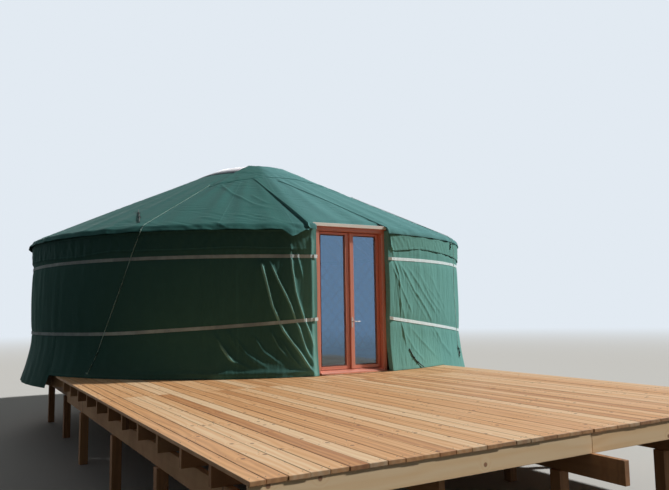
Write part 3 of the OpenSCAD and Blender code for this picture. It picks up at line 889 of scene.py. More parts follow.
FINISHES: dict[str, Finish] = {
    "deck": Wood("planks", Slot.PLANKS, paint(176, 118, 70), paint(222, 168, 114), paint(240, 208, 166),
                 paint(112, 66, 38), rings=17, knots=0.3, contrast=0.62, relief=0.0009,
                 rubbed=paint(92, 62, 40), rub=0.5),
    "front board": Wood("front board", Slot.PLANKS, paint(214, 166, 112), paint(238, 202, 154),
                        paint(247, 222, 184), paint(126, 74, 44), rings=12, knots=0.62, contrast=0.45,
                        rubbed=paint(200, 150, 100)),
    "timber": Wood("rough timber", Slot.TIMBER, paint(146, 98, 60), paint(190, 140, 94),
                   paint(214, 172, 126), paint(92, 54, 32), rings=15, knots=0.4, relief=0.0014,
                   roughness=0.75, rubbed=paint(110, 76, 50)),
    "door": Wood("stained door wood", Slot.DOOR, paint(176, 90, 72), paint(214, 132, 108),
                 paint(240, 168, 144), paint(126, 56, 42), rings=30, knots=0.04, contrast=0.4,
                 roughness=0.42, varnish=0.35, relief=0.0003, rubbed=paint(224, 146, 108), rub=0.3),
    "cap strip": Wood("pale batten", Slot.PLANKS, paint(246, 234, 214), paint(253, 247, 234),
                      paint(255, 252, 244), paint(190, 140, 100), rings=24, knots=0.05, contrast=0.3,
                      rub=0.1),
    "lattice": Wood("lattice wood", Slot.LATTICE, paint(176, 128, 80), paint(210, 166, 114),
                    paint(226, 190, 144), paint(110, 68, 40), rings=26, knots=0.08, contrast=0.5,
                    roughness=0.55, varnish=0.1, rubbed=paint(150, 108, 70)),
    # each canvas: the first colour is painted shade for the side away from the key light, the second
    # painted light for the lit side
    "roof": Canvas("roof canvas", Slot.ROOF, paint(57, 108, 101), paint(96, 148, 146),
                   paint(92, 146, 142), dust_amount=0.06),
    "wall": Canvas("wall canvas", Slot.WALL, paint(54, 92, 84), paint(112, 170, 160),
                   paint(96, 150, 142), fade=0.1, dust_amount=0.06),
    "valance": Canvas("valance canvas", Slot.ROOF, paint(44, 80, 74), paint(112, 168, 156),
                      paint(98, 152, 144), fade=0.1, dust_amount=0.04),
    "felt": Canvas("felt lining", Slot.WALL, paint(214, 206, 190), paint(214, 206, 190),
                   paint(228, 222, 208), threads=300, sheen=0.5, roughness=0.9),
    # the belt's last colour is painted shade for the side away from the key light
    "belt": Webbing("belt webbing", Slot.WEBBING, paint(240, 255, 255), paint(220, 240, 236),
                    painted_shade_colour=paint(104, 112, 112)),
    "rope": Webbing("twisted rope", Slot.ROPE, paint(206, 246, 234), paint(176, 218, 204), ribs=420.0,
                    twist=1.2),
    "cord": Webbing("dark cord", Slot.ROPE, paint(26, 44, 38), paint(40, 56, 48), ribs=420.0, twist=1.2),
    # door glass: the blue tint and the blue specular tint paint a sky reflection
    "glass": Pane("door glass", Slot.GLASS, paint(176, 204, 232), paint(172, 206, 240), 3.0, 1.0, 0.015),
    "cap": Pane("hazy cap", Slot.CAP, paint(252, 244, 246), paint(250, 246, 250), 1.5, 0.12, 0.34),
    # painted shade: a dark ring round the clear cap that stands in for shade there
    "shade_rim": Pane("painted shade rim", Slot.CAP, paint(14, 30, 36), paint(120, 140, 150), 1.4, 0.0, 0.6),
    "metal": Metal("satin metal", Slot.METAL, paint(206, 196, 188), paint(176, 164, 156)),
    "screws": Metal("screw heads", Slot.METAL, paint(150, 144, 130), paint(110, 98, 82), 0.45),
}


class Workshop:
    """Makes each piece's object, gives it its finish, and hides the node of the frame that it replaces."""

    def __init__(self) -> None:
        """Starts with no material made."""
        self.materials: dict[str, bpy.types.Material] = {}

    def finish(self, name: str) -> bpy.types.Material:
        """The material of a finish, made on its first use."""
        if name not in self.materials:
            self.materials[name] = FINISHES[name].build()
        return self.materials[name]

    def place(self, name: str, surface: Surface, finish: str, node: str = "", body: str = "building",
              rounded: bool = False, slot: Slot | None = None) -> bpy.types.Object:
        """Puts one piece into the scene.

        Args:
            name: Name of the piece.
            surface: Its shape.
            finish: Which of the finishes it wears.
            node: Node of the frame that it replaces, if any.
            body: Body that it rides on.
            rounded: True for smooth shading.
            slot: Not used.
        Returns:
            The object.
        """
        made = surface.object(name, rounded)
        made.data.materials.append(self.finish(finish))
        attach(made, body)
        if node:
            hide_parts(node)
        LOG.info("%s: %d points, %d faces", name, len(surface.points), sum(map(len, surface.faces)))
        return made

    def dress(self, node: str, finish: str) -> None:
        """Gives a node of the frame its finish."""
        materials = bpy.data.objects[FRAME["nodes"][node].name].data.materials
        materials.clear()
        materials.append(self.finish(finish))
        LOG.info("%s: dressed as %s", node, finish)

    def beams(self, name: str, node: str, lines: Sequence[Sequence[float]], seed: int) -> None:
        """Beams 50 mm wide that replace a node, at its height.

        Args:
            name, node: The piece and the node.
            lines: X and Y of the start and of the end of each, all along X or all along Y.
            seed: Draw of grain and tone.
        """
        low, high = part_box(node)
        x0, y0, x1, y1 = np.array(lines, float).T
        z = (low.z + high.z) / 2
        side = (0, 1, 0) if y0[0] == y1[0] else (1, 0, 0)
        self.place(name, bars(spread(x0, y0, z), spread(x1, y1, z), side, 0.05, high.z - low.z, 0.002,
                              seed, bends=3), "timber", node)

    def posts(self, name: str, node: str, feet: Sequence[tuple[float, float]], seed: int) -> None:
        """Square posts from the ground to the top of the node that they replace."""
        x, y = np.array(feet, float).T
        self.place(name, bars(spread(x, y, 0.0), spread(x, y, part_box(node)[1].z), (1, 0, 0), 0.1, 0.1,
                              0.003, seed, (0.1, 0.5), 2), "timber", node)

    def cloth(self, name: str, points: Floats, along: tuple[Floats, Floats], seam: Floats, finish: str,
              node: str = "", flip: bool = True, slot: Slot | None = None, **marks: Floats) -> Any:
        """Puts a sheet of cloth into the scene, as a grid of points.

        Args:
            name, finish, node, slot: As for place.
            points: Rows x columns x 3.
            along: The cloth's own two coordinates, in metres.
            seam: Distance of each point to the nearest seam.
            flip: True where rows go down and columns to the right.
            marks: What else the points carry.
        Returns:
            The object.
        """
        marks = {"uv": spread(*along), "seam": seam, **marks}
        return self.place(name, sheet_grid(points, marks, flip=flip), finish, node, rounded=True, slot=slot)


# Timberwork


@dataclass(frozen=True)
class Terrace:
    """Planks, joists, bearers, posts and front board of the terrace."""

    left: float = -3.79
    right: float = 1.79
    front: float = -8.79
    butt: float = -4.70
    back: float = -1.22
    bite: float = 4.02
    plank: float = 0.1328
    gap: float = 0.004
    board: float = 0.027
    joist_step: float = 0.61
    # tones of the first planks from the left edge, in front of the butt joint, and behind it
    front_tones: tuple[float, ...] = (0.42, 0.36, 0.74, 0.80, 0.55, 0.12, 0.88, 0.48, 0.34, 0.50, 0.22,
                                      0.58, 0.78, 0.46, 0.52, 0.84, 0.80, 0.44, 0.50, 0.56, 0.42)
    back_tones: tuple[float, ...] = (0.55, 0.40, 0.46, 0.62, 0.50, 0.80, 0.86, 0.44, 0.38, 0.60)

    def edges(self) -> Floats:
        """Left and right edge of each plank: the first is a little narrower, the rest alike."""
        inner = np.arange(self.left + 0.105, self.right - 0.05, self.plank)
        draw = np.random.default_rng(3)
        lines = np.concatenate([[self.left], inner + draw.uniform(-0.004, 0.004, len(inner)), [self.right]])
        gaps = draw.uniform(0.5, 1.5, len(lines)) * self.gap / 2
        return np.stack([lines[:-1] + gaps[:-1], lines[1:] - gaps[1:]], 1)

    @staticmethod
    def tones(given: Sequence[float], count: int, seed: int) -> Floats:
        """The given tones, then drawn ones."""
        drawn = np.clip(np.random.default_rng(seed).normal(0.55, 0.17, count), 0.1, 0.95)
        drawn[:len(given)] = given
        return drawn

    def bite_at(self, along: Floats | float) -> Floats | float:
        """Half width of the round bite for the yurt, at a place on the other axis."""
        return np.sqrt(np.maximum(self.bite ** 2 - along ** 2, 0))

    def joist_lines(self) -> Floats:
        """Y of each joist."""
        return self.front + 0.065 + self.joist_step * np.arange(12)

    def build(self, shop: Workshop) -> None:
        """Makes all of the terrace. Its front edge is a few millimetres ragged from plank to plank."""
        edges = self.edges()
        count = len(edges)
        ragged = self.front + 0.004 + np.random.default_rng(8).uniform(-0.004, 0.004, count)[:, None, None]
        for part, front, back, given, seed in (
                ("front", lambda x: ragged, lambda x: self.butt - 0.002, self.front_tones, 4),
                ("back", lambda x: self.butt + 0.002, lambda x: np.minimum(-self.bite_at(x), self.back),
                 self.back_tones, 5)):
            tones = self.tones(given, count, seed)
            boards = planks(edges, front, back, self.board, 0.0018, seed + 7, tones)
            shop.place(f"deck_boards_{part}", boards, "deck", f"terrace_boards_{part}")
        self.screws(shop, edges)
        self.frame(shop)

    def screws(self, shop: Workshop, edges: Floats) -> None:
        """Two countersunk heads where a plank crosses a joist: a shallow cone with a driver's recess."""
        beside = np.concatenate([edges[:, 0] + 0.022, edges[:, 1] - 0.022])
        x, y = (v.ravel() for v in np.meshgrid(beside, self.joist_lines()[:11]))
        keep = (np.hypot(x, y) > self.bite + 0.05) & (y < self.back - 0.05)
        draw = np.random.default_rng(9)
        x = x[keep] + draw.uniform(-0.004, 0.004, keep.sum())
        y = y[keep] + draw.uniform(-0.006, 0.006, keep.sum())
        shop.place("deck_screws", studs(spread(x, y, FLOOR), (1, 0, 0), (0, 1, 0),
                                        (0.0045, 0.0042, 0.0016, 0.001), (-0.001, 0.0009, 0.0007, -0.0012)),
                   "screws")

    def frame(self, shop: Workshop) -> None:
        """Joists, bearers with one out past the front board, posts, and the front board in two lengths."""
        low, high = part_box("terrace_joists")
        y = self.joist_lines()
        lines = [(low.x, at, high.x, at) for at in y[self.bite_at(y) == 0]]
        for at in y[self.bite_at(y) > 0]:
            reach = self.bite_at(abs(at) - 0.025) + 0.004
            if -reach > low.x + 0.05:
                lines.append((low.x, at, -reach, at))
            if at < -3.685 and reach < high.x - 0.02:
                lines.append((reach, at, high.x, at))
        shop.beams("deck_joists", "terrace_joists", lines, 21)
        rows = self.left + 0.14 + 1.3 * np.arange(5)
        fronts = np.where(np.arange(5) == 2, self.front - 0.27, self.front + 0.17)
        backs = [-max(1.6, self.bite_at(max(0.0, abs(x) - 0.025)) + 0.005)
                 if abs(x) + 0.05 < self.bite else -1.6 for x in rows]
        shop.beams("deck_bearers", "terrace_bearers", spread(rows, fronts, rows, backs), 22)
        feet = [(x, y) for y in (-8.45, -6.6, -4.9) for x in rows] + [(rows[0], -3.0)]
        shop.posts("deck_posts", "terrace_posts", feet, 23)
        low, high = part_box("front_fascia")
        middle, cut = (low + high) / 2, -1.05
        boards = bars(spread([low.x + 0.001, cut + 0.001], middle.y, middle.z),
                      spread([cut - 0.001, high.x - 0.001], middle.y, middle.z),
                      (0, 0, 1), high.z - low.z, high.y - low.y, 0.002, 26, (0.45, 0.75), 5)
        shop.place("front_board", boards, "front board", "front_fascia")


@dataclass(frozen=True)
class Platform:
    """The round floor under the yurt and what carries it."""

    radius: float = 3.94
    plank: float = 0.14
    rim: float = 0.022
    parts: int = 24

    def half_width(self, along: Floats, inset: float = 0.0) -> Floats:
        """Half width of the round floor, or of a circle so far inside it, at a place on the other axis."""
        return np.sqrt(np.maximum((self.radius - inset) ** 2 - along ** 2, 0.0004))

    def build(self, shop: Workshop) -> None:
        """Makes the floor, its rim, joists, bearers and posts."""
        reach = self.radius - 0.0005
        lines = np.linspace(-reach, reach, round(2 * self.radius / self.plank) + 1)
        edges = np.stack([lines[:-1] + 0.0008, lines[1:] - 0.0008], 1)
        tones = np.random.default_rng(31).uniform(0.35, 0.8, len(edges))
        shop.place("floor_boards", planks(edges, lambda x: -self.half_width(x), self.half_width, 0.027,
                                          0.0012, 32, tones, 5), "deck", "platform_floor")
        self.rim_boards(shop)
        y = 0.61 * np.arange(-6, 7)
        x = self.half_width(np.abs(y) + 0.025, self.rim)
        shop.beams("floor_joists", "platform_joists", spread(-x, y, x, y), 33)
        rows = np.array([-3.55, -2.5, -1.25, 0, 1.25, 2.5, 3.55])
        y = self.half_width(np.abs(rows) + 0.025, 0.06)
        shop.beams("floor_bearers", "platform_bearers", spread(rows, -y, rows, y), 34)
        outer, between, inner = (-0.9, 0.9), (-2.4, 0, 2.4), (-3.2, -1.6, 0, 1.6, 3.2)
        feet = [(x, y) for x in rows
                for y in (outer if abs(x) > 3 else between if abs(x) > 2 else inner)]
        shop.posts("floor_posts", "platform_posts", feet, 35)

    def rim_boards(self, shop: Workshop) -> None:
        """Bent boards: a rectangle carried along an arc of 15 degrees, 24 times."""
        low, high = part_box("platform_rim")
        e, rim = 0.002, self.rim
        turn = np.arange(self.parts)[:, None] + 0.004 + 0.99 * np.linspace(0, 1, 9)
        az = turn[..., None] * 360 / self.parts
        depth = np.array([0, 0, e, rim - e, rim, rim, rim - e, e])
        level = np.array([low.z + e, high.z - e, high.z, high.z, high.z - e, low.z + e, low.z, low.z])
        draw, each = np.random.default_rng(36), (self.parts, 1, 1)
        grain = spread(self.radius * np.radians(az), level, depth) + draw.uniform(-20, 20, (*each, 3))
        marks = wood_marks(grain, draw.uniform(0.2, 0.8, each))
        shop.place("rim_boards", tubes(around(az, self.radius - depth, level - FLOOR), marks), "timber",
                   "platform_rim")


# Door


@dataclass(frozen=True)
class Door:
    """Frame, two glazed leaves, cover strip and handle of the double door."""

    middle: float = -0.09
    width: float = 1.2
    height: float = 2.15
    front: float = -3.87
    jamb: float = 0.06
    leaf_front: float = -3.79
    back: float = -3.734
    head: float = 0.055
    cap: float = 0.03
    stile: float = 0.062
    lock_stile: float = 0.07
    rail_low: float = 0.062
    rail_top: float = 0.048
    bead: float = 0.012

    def build(self, shop: Workshop) -> None:
        """Makes the frame, the leaves and the handle."""
        self.frame(shop)
        self.leaf(shop, -1, "left_door", "left_leaf")
        self.leaf(shop, 1, "right_door", "right_leaf")
        strip = block(*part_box("meeting_strip"), 2, 0, 0.005, 47, (0.6, 0.7))
        shop.place("cover_strip", strip, "door", "meeting_strip", "right_door")
        for node, finish in (("left_glass", "glass"), ("right_glass", "glass"), ("door_hinges", "metal")):
            shop.dress(node, finish)
        self.handle(shop)

    def frame(self, shop: Workshop) -> None:
        """Jambs, head with its cap and the batten on it, and the sloping sill."""
        left, right = self.middle - self.width / 2, self.middle + self.width / 2
        for side, x, seed in (("left", left, 41), ("right", right - self.jamb, 42)):
            node = f"door_jamb_{side}"
            high = (x + self.jamb, self.back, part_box(node)[1].z)
            shop.place(f"jamb_{side}", block((x, self.front, FLOOR), high, 2, 0, 0.003, seed, (0.5, 0.6)),
                       "door", node)
        top, lip, play = FLOOR + self.height, self.front - 0.025, 0.00025
        under = top - self.cap
        head = block((left, self.front, under - self.head + play), (right, self.back, under - play), 0, 1,
                     0.003, 43, (0.35, 0.45))
        cap = block((left - 0.01, lip, under), (right + 0.01, self.back, top), 0, 1, 0.003, 44, (0.4, 0.5))
        shop.place("door_head_and_cap", Surface.joined([head, cap]), "door", "door_head")
        batten = block((left - 0.06, lip - 0.02 + play, top - 0.026),
                       (right + 0.008, lip - play, top + 0.024), 0, 1, 0.003, 45, (0.6, 0.7))
        shop.place("cap_batten", batten, "cap strip")
        front, back, stop = self.front, self.back, self.leaf_front
        y, z = np.array([(back, 0), (back, 0.048), (back - 0.002, 0.05), (stop + 0.002, 0.05),
                         (stop, 0.049), (front - 0.026, 0.0235), (front - 0.03, 0.019),
                         (front - 0.03, 0.003), (front - 0.027, 0)]).T
        x0, x1 = left + self.jamb, right - self.jamb
        x = np.array([x0 + 0.0005, x0 + 0.03, (x0 + x1) / 2, x1 - 0.03, x1 - 0.0005])[:, None]
        points = spread(x, y, FLOOR + z)[None]
        shop.place("sill", tubes(points, wood_marks(points + 5.0, 0.75)), "door", "door_sill")

    def leaf(self, shop: Workshop, side: int, body: str, node: str) -> None:
        """One leaf, the left at side -1: two stiles, two rails, and the beads that hold the glass."""
        low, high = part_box(node)
        b, y0, y1 = self.bead, self.leaf_front, self.back
        wide = (self.stile, self.lock_stile)[::-side]
        x0, x1 = low.x + wide[0], high.x - wide[1]
        z0, z1 = low.z + self.rail_low, high.z - self.rail_top
        seeds = (49, 50) if side < 0 else (52, 51)
        parts = [block((xa, y0, low.z), (xb, y1, high.z), 2, 0, 0.0025, seed, (0.4, 0.55))
                 for xa, xb, seed in ((low.x, x0 - b, seeds[0]), (x1 + b, high.x, seeds[1]))]
        parts += [block((x0 - b, y0, za), (x1 + b, y1, zb), 0, 2, 0.0025, seed + side, (0.55, 0.65), 2)
                  for za, zb, seed in ((low.z, z0 - b, 55), (z1 + b, high.z, 56))]
        shop.place(f"{node}_frame", Surface.joined(parts), "door", node, body)
        beads = []
        for ya, yb in ((y0 + 0.004, y0 + 0.0195), (y0 + 0.0285, y1 - 0.004)):
            y, size, look = (ya + yb) / 2, (b, yb - ya, 0.0028), ((0.3, 0.6), 2)
            x, z = [x0 - b / 2, x1 + b / 2], [z0 - b / 2, z1 + b / 2]
            beads += [bars(spread(x, y, z0 - b), spread(x, y, z1 + b), (1, 0, 0), *size, 60 + side, *look),
                      bars(spread(x0, y, z), spread(x1, y, z), (0, 0, 1), *size, 62 + side, *look)]
        shop.place(f"{node}_beads", Surface.joined(beads), "door", body=body)

    def handle(self, shop: Workshop) -> None:
        """A lever with a bent neck on each side, on plates with rounded corners and two screws."""
        low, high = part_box("handle_lever")
        x, z, radius = self.middle + 0.033, FLOOR + 0.745, 0.014
        outer, inner = self.leaf_front - 0.029, self.back + 0.004
        bend = np.radians(np.linspace(0, 90, 7))[1:]
        levers, plates = [], []
        for face, tip in ((outer, low.y + 0.009), (inner, high.y - 0.009)):
            toward = math.copysign(radius, tip - face)
            arm = spread(np.linspace(x + radius + 0.01, high.x - 0.001, 12), tip,
                         z - 0.003 * np.sin(np.linspace(0, math.pi, 12)))
            path = np.concatenate([
                spread(x, np.linspace(face, tip - toward, 3), z),
                spread(x + radius * (1 - np.cos(bend)), tip - toward * (1 - np.sin(bend)), z), arm])
            share = np.linspace(0, 1, len(path))
            size = 1 - 0.25 * smooth(share, 0, 0.25) + 0.12 * np.sin(math.pi * share)
            size[-2:] *= (0.85, 0.5)
            levers.append(carried(path, circle(0.0085, 14) * (0.85, 1.0), scale=size))
        shop.place("lever", Surface.joined(levers), "metal", "handle_lever", "handle", True)
        for y0, y1, face in ((outer, outer + 0.004, outer), (self.back, inner, inner)):
            plates.append(carried(spread(x, np.linspace(y0, y1, 4), z - 0.015), soft_box(0.03, 0.15, 0.009),
                                  scale=np.array([0.93, 1, 1, 0.93])))
            plates += [carried(spread(x, face + np.linspace(-0.001, 0.001, 3), z + up), circle(0.0035, 10))
                       for up in (-0.077, 0.047)]
        shop.place("handle_plate_pair", Surface.joined(plates), "metal", "handle_plates", "right_door")


# Wooden skeleton


def cap_height(r: Floats | float) -> Floats:
    """Underside of the clear cap above the floor: a slice of a sphere on the ring."""
    ball = (CAP_RADIUS ** 2 + CAP_RISE ** 2) / (2 * CAP_RISE)
    return 3.65 + CAP_RISE - ball + np.sqrt(ball ** 2 - np.minimum(r, CAP_RADIUS) ** 2)


@dataclass(frozen=True)
class Skeleton:
    """Lattice wall, roof poles, crown ring and spokes."""

    lattice_radius: float = 3.962
    height: float = 2.086
    cells_up: int = 7
    cells_round: int = 24
    slat: float = 0.032
    slat_thick: float = 0.011

    def build(self, shop: Workshop) -> None:
        """Makes the four lattice sections, the poles and the crown."""
        for k, part in enumerate(("right", "back_right", "back_left", "left")):
            self.section(shop, f"lattice_{part}", JAMB_RIGHT + k * LATTICE_TURN / 4, 70 + k)
        self.poles(shop)
        self.crown(shop)

    def section(self, shop: Workshop, node: str, from_az: float, seed: int) -> None:
        """One lattice section: slats along two families of helices, with a bolt where they cross.

        A slat's point at height h is at azimuth start + lean * h * cell width / cell height, on a
        circle of its layer's radius, and slats that leave the section are cut at its sides.
        """
        low, margin, up, cells, e = 0.03, 0.175, self.cells_up, self.cells_round, 0.002
        cell_z, cell_a = (self.height - 2 * low) / up, (LATTICE_TURN / 4 - 2 * margin) / cells
        w, d = self.slat / 2, self.slat_thick / 2
        across = np.array([w, w, w - e, e - w, -w, -w, e - w, w - e])
        out = np.array([e - d, d - e, d, d, d - e, e - d, -d, -d])
        parts, draw = [], np.random.default_rng(seed)
        for layer, lean in ((0, 1), (1, -1)):
            starts = np.arange(cells + up) + 0.5 - (up if lean > 0 else 0)
            first = np.maximum(0, -starts if lean > 0 else starts - cells)
            last = np.minimum(up, cells - starts if lean > 0 else starts)
            keep = last - first > 0.6
            starts, first, last = (v[keep][:, None] for v in (starts, first, last))
            h = first + (last - first) * np.linspace(0, 1, 15)
            z = low + h * cell_z
            z[:, 0] -= 0.022
            z[:, -1] += 0.022
            radius = self.lattice_radius - d - layer * self.slat_thick
            cell_w = math.radians(cell_a) * radius
            run = math.hypot(cell_z, cell_w)
            az = from_az + margin + (starts + lean * h) * cell_a
            points = around(az[..., None] + across * math.degrees(cell_z / run / radius), radius + out,
                            z[..., None] - across * lean * cell_w / run)
            each = (len(starts), 1, 1)
            grain = spread(h[..., None] * run, across, out) + draw.uniform(-20, 20, (*each, 3))
            parts.append(tubes(points, wood_marks(grain, draw.uniform(0.25, 0.8, each))))
        shop.place(f"{node}_slats", Surface.joined(parts), "lattice", node)
        i, j = (v.ravel() for v in np.meshgrid(np.arange(cells), np.arange(up)))
        a, h = np.concatenate([i + 0.5, i + 1.0]), np.concatenate([j, j + 0.5])
        keep = a < cells - 0.2
        az = from_az + margin + a[keep] * cell_a
        at = around(az, self.lattice_radius - 2 * self.slat_thick, low + h[keep] * cell_z)
        shop.place(f"{node}_bolts", studs(at, outward(az + 90), (0, 0, 1), (0.006, 0.0055, 0.003),
                                          (0.0, -0.0018, -0.0026)), "screws")

    def poles(self, shop: Workshop) -> None:
        """Poles from the lattice to the crown: 45 mm thick, thinner where they enter the ring."""
        facet, count = LATTICE_TURN / 24, 48
        over_door = np.array([1, 2]) * (360 - LATTICE_TURN + 0.5 * facet) / 3
        az = np.concatenate([JAMB_RIGHT + (np.arange(count) * 0.5 + 0.125) * facet,
                             JAMB_LEFT - 0.375 * facet + over_door])
        drop = (0.022 + 0.0455 / 2) / math.cos(ROOF_PITCH) + 0.0005
        foot = np.where(np.arange(len(az)) < count, 3.95, 3.817)[:, None]
        share = np.array([0, 0.004, 0.02, 0.25, 0.5, 0.75, 0.93, 0.97, 1.0])
        size = 0.0225 * np.array([0.9, 1, 1, 1, 1, 1, 1, 0.8, 0.78])[:, None]
        r = foot + (0.765 - foot) * share
        normal = outward(az) * math.sin(ROOF_PITCH) + (0, 0, math.cos(ROOF_PITCH))
        across, level = size * np.cos(ring(12)), size * np.sin(ring(12))
        points = (around(az[:, None], r, roof_height(r) - drop)[:, :, None]
                  + across[..., None] * outward(az + 90)[:, None, None]
                  + level[..., None] * normal[:, None, None])
        draw, each = np.random.default_rng(80), (len(az), 1, 1)
        grain = spread(r[..., None], across, level) + draw.uniform(-20, 20, (*each, 3))
        shop.place("poles", tubes(points, wood_marks(grain, draw.uniform(0.3, 0.8, each))), "lattice",
                   "roof_poles", rounded=True)

    def crown(self, shop: Workshop) -> None:
        """The steamed ring, eight spokes to a hub, the clear cap, and a dark ring round the cap that paints
        shade.
        """
        low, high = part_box("crown_ring")
        r1, r0, e = high.x, high.x - 0.06, 0.006
        section = [(r1, low.z + e), (r1, high.z - e), (r1 - e, high.z), (r0 + e, high.z), (r0, high.z - e),
                   (r0, low.z + e), (r0 + e, low.z), (r1 - e, low.z), (r1, low.z + e)]
        shop.place("ring", turned(section, 96), "lattice", "crown_ring")
        low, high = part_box("crown_spokes")
        az, middle = 90 + 45 * np.arange(8), (0, 0, (low.z + high.z) / 2)
        spokes = bars(outward(az) * 0.05 + middle, outward(az) * 0.689 + middle, outward(az + 90), 0.036,
                      high.z - low.z, 0.004, 83)
        hub = turned([(0.0, low.z), (0.052, low.z), (0.06, low.z + e), (0.06, high.z - e), (0.052, high.z),
                      (0.0, high.z)], 32)
        shop.place("spokes_and_hub", Surface.joined([spokes, hub]), "lattice", "crown_spokes")

        def on_roof(*points: tuple[float, float]) -> list[tuple[float, float]]:
            """Heights above the ground of points given above the roof."""
            return [(r, FLOOR + roof_height(r) + up) for r, up in points]

        under = [(r, FLOOR + cap_height(r)) for r in np.linspace(0, CAP_RADIUS, 16)]
        lap = on_roof((CROWN_EDGE, 0.008), (0.88, 0.009), (0.999, 0.009), (1.0, 0.007), (0.999, 0.005),
                      (0.88, 0.005), (CROWN_EDGE, 0.003))
        dome = [(r, height + 0.006) for r, height in under] + lap + under[::-1]
        shop.place("cap_dome", turned(dome, 128), "cap", "crown_dome", rounded=True)
        # painted shade: a dark ring round the cap's edge
        shade_rim = on_roof((0.94, 0.0045), (0.995, 0.0045), (1.003, 0.009), (1.08, 0.010), (1.15, 0.007),
                        (1.154, 0.004), (1.15, 0.0005), (1.08, 0.0005), (0.94, 0.0005), (0.94, 0.0045))
        shop.place("cap_shade_rim", turned(shade_rim, 128), "shade_rim", rounded=True)


# Canvas


@dataclass(frozen=True)
class Fold:
    """A raised fold in canvas, along points (azimuth, height above the floor or radius)."""

    line: Line
    width: float
    height: float
    lean: float = 0.0

    def relief(self, az: Floats, z: Floats, degree: Floats | float = WALL_DEGREE) -> Floats:
        """Height of the fold at each place, where a degree of azimuth is so many metres.

        The distance d to the line is taken along the cloth. The fold rises as 1 / (1 + (d/w)^2)^1.6,
        steeper on the side it leans to, and fades out at both ends of its line.
        """
        line = np.array(sorted(self.line, key=lambda p: p[1]))
        at = np.interp(z, line[:, 1], line[:, 0])
        slope = np.interp(z, line[:, 1], np.gradient(line[:, 0], line[:, 1]))
        d = (az - at) * degree / np.sqrt(1 + (slope * degree) ** 2)
        w = self.width * np.where(d > 0, 1 - self.lean, 1 + self.lean)
        low, high = line[0, 1], line[-1, 1]
        end = min(0.16, (high - low) * 0.35)
        fade = smooth(z, low - 0.03, low + end) * (1 - smooth(z, high - end, high + 0.03))
        return self.height * fade * (1 + (d / w) ** 2) ** -1.6


LEFT_FOLDS = (
    Fold(((-21.8, 1.66), (-20.6, 1.34), (-19.4, 0.99), (-17.1, 0.63), (-14.2, 0.36), (-11.2, 0.02)),
         0.030, 0.052, 0.35),
    Fold(((-20.1, 1.64), (-18.2, 1.34), (-15.9, 1.01), (-14.1, 0.68), (-12.7, 0.37), (-11.2, 0.16)),
         0.027, 0.046, 0.35),
    Fold(((-15.7, 1.82), (-15.4, 1.5), (-14.7, 1.17), (-13.5, 0.89), (-12.3, 0.68), (-11.2, 0.42)),
         0.026, 0.048, 0.3),
    Fold(((-14.4, 1.78), (-13.8, 1.55), (-13.1, 1.36)), 0.020, 0.030, 0.3),
    Fold(((-12.9, 1.95), (-12.8, 1.62)), 0.018, 0.02, 0.2),
    Fold(((-22.9, 1.64), (-22.9, 1.02)), 0.06, 0.014),
    Fold(((-31.3, 0.66), (-27.9, 0.3), (-26.1, 0.14)), 0.032, 0.030, 0.3),
    Fold(((-28.6, 0.72), (-26.1, 0.36)), 0.028, 0.024, 0.3),
    Fold(((-20.3, 0.71), (-18.3, 0.43), (-15.7, 0.2)), 0.028, 0.032, 0.35),
    Fold(((-23.5, 0.62), (-21.2, 0.36), (-17.5, 0.16)), 0.030, 0.028, 0.3),
    Fold(((-30.2, 0.50), (-27.4, 0.26), (-23.0, 0.10)), 0.024, 0.024, 0.3),
    Fold(((-27.0, 0.60), (-24.6, 0.34), (-20.2, 0.12)), 0.024, 0.026, 0.3),
    Fold(((-25.0, 0.32), (-22.0, 0.16)), 0.022, 0.020, 0.3),
    Fold(((-18.0, 0.55), (-15.9, 0.30), (-13.2, 0.08)), 0.024, 0.030, 0.35),
    Fold(((-17.6, 1.62), (-17.2, 1.3), (-16.2, 1.05)), 0.022, 0.014, 0.2),
)
RIGHT_FOLDS = (
    Fold(((6.6, 2.06), (8.6, 1.81), (10.3, 1.43), (10.9, 0.75), (12.3, 0.34)), 0.024, 0.015, -0.4),
    Fold(((8.1, 1.63), (10.6, 1.28), (15.0, 0.80)), 0.021, 0.009, -0.4),
    Fold(((10.8, 1.63), (15.3, 1.21), (20.1, 0.90), (26.9, 0.37), (33.0, 0.08)), 0.028, 0.013, -0.45),
    Fold(((13.1, 1.59), (18.3, 1.21), (25.7, 0.76)), 0.026, 0.010, -0.4),
    Fold(((17.6, 1.45), (22.5, 1.05), (28.6, 0.78)), 0.026, 0.008, -0.35),
    Fold(((13.6, 0.66), (19.0, 0.36), (24.5, 0.10)), 0.026, 0.008, -0.3),
    Fold(((9.4, 1.50), (10.2, 1.10), (13.0, 0.62)), 0.018, 0.007, -0.3),
    Fold(((11.6, 0.60), (14.8, 0.30), (19.0, 0.06)), 0.022, 0.008, -0.3),
    Fold(((21.5, 1.50), (25.5, 1.20), (31.0, 0.85)), 0.026, 0.006, -0.3),
    Fold(((9.3, 1.95), (10.6, 1.62), (12.4, 1.30)), 0.016, 0.006, -0.3),
    Fold(((12.0, 1.42), (16.5, 1.02), (21.5, 0.66), (27.0, 0.25)), 0.018, 0.005, -0.3),
    Fold(((16.0, 1.55), (21.0, 1.25), (27.0, 0.98), (33.0, 0.60)), 0.018, 0.005, -0.3),
    Fold(((24.0, 0.52), (29.0, 0.20)), 0.022, 0.006, -0.3),
)
# wrinkles of the roof canvas, along points (azimuth, radius)
ROOF_FOLDS = (
    Fold(((-39.5, 1.91), (-28.8, 2.64), (-23.4, 3.06), (-19.8, 3.32), (-16.3, 3.35)), 0.030, 0.014, 0.3),
    Fold(((-24.0, 2.56), (-19.4, 3.05), (-15.6, 3.12)), 0.026, 0.011, 0.3),
    Fold(((-31.5, 3.91), (-28.0, 4.10)), 0.030, 0.012, 0.2),
    Fold(((-35.0, 3.69), (-30.1, 3.85)), 0.030, 0.010, 0.2),
)


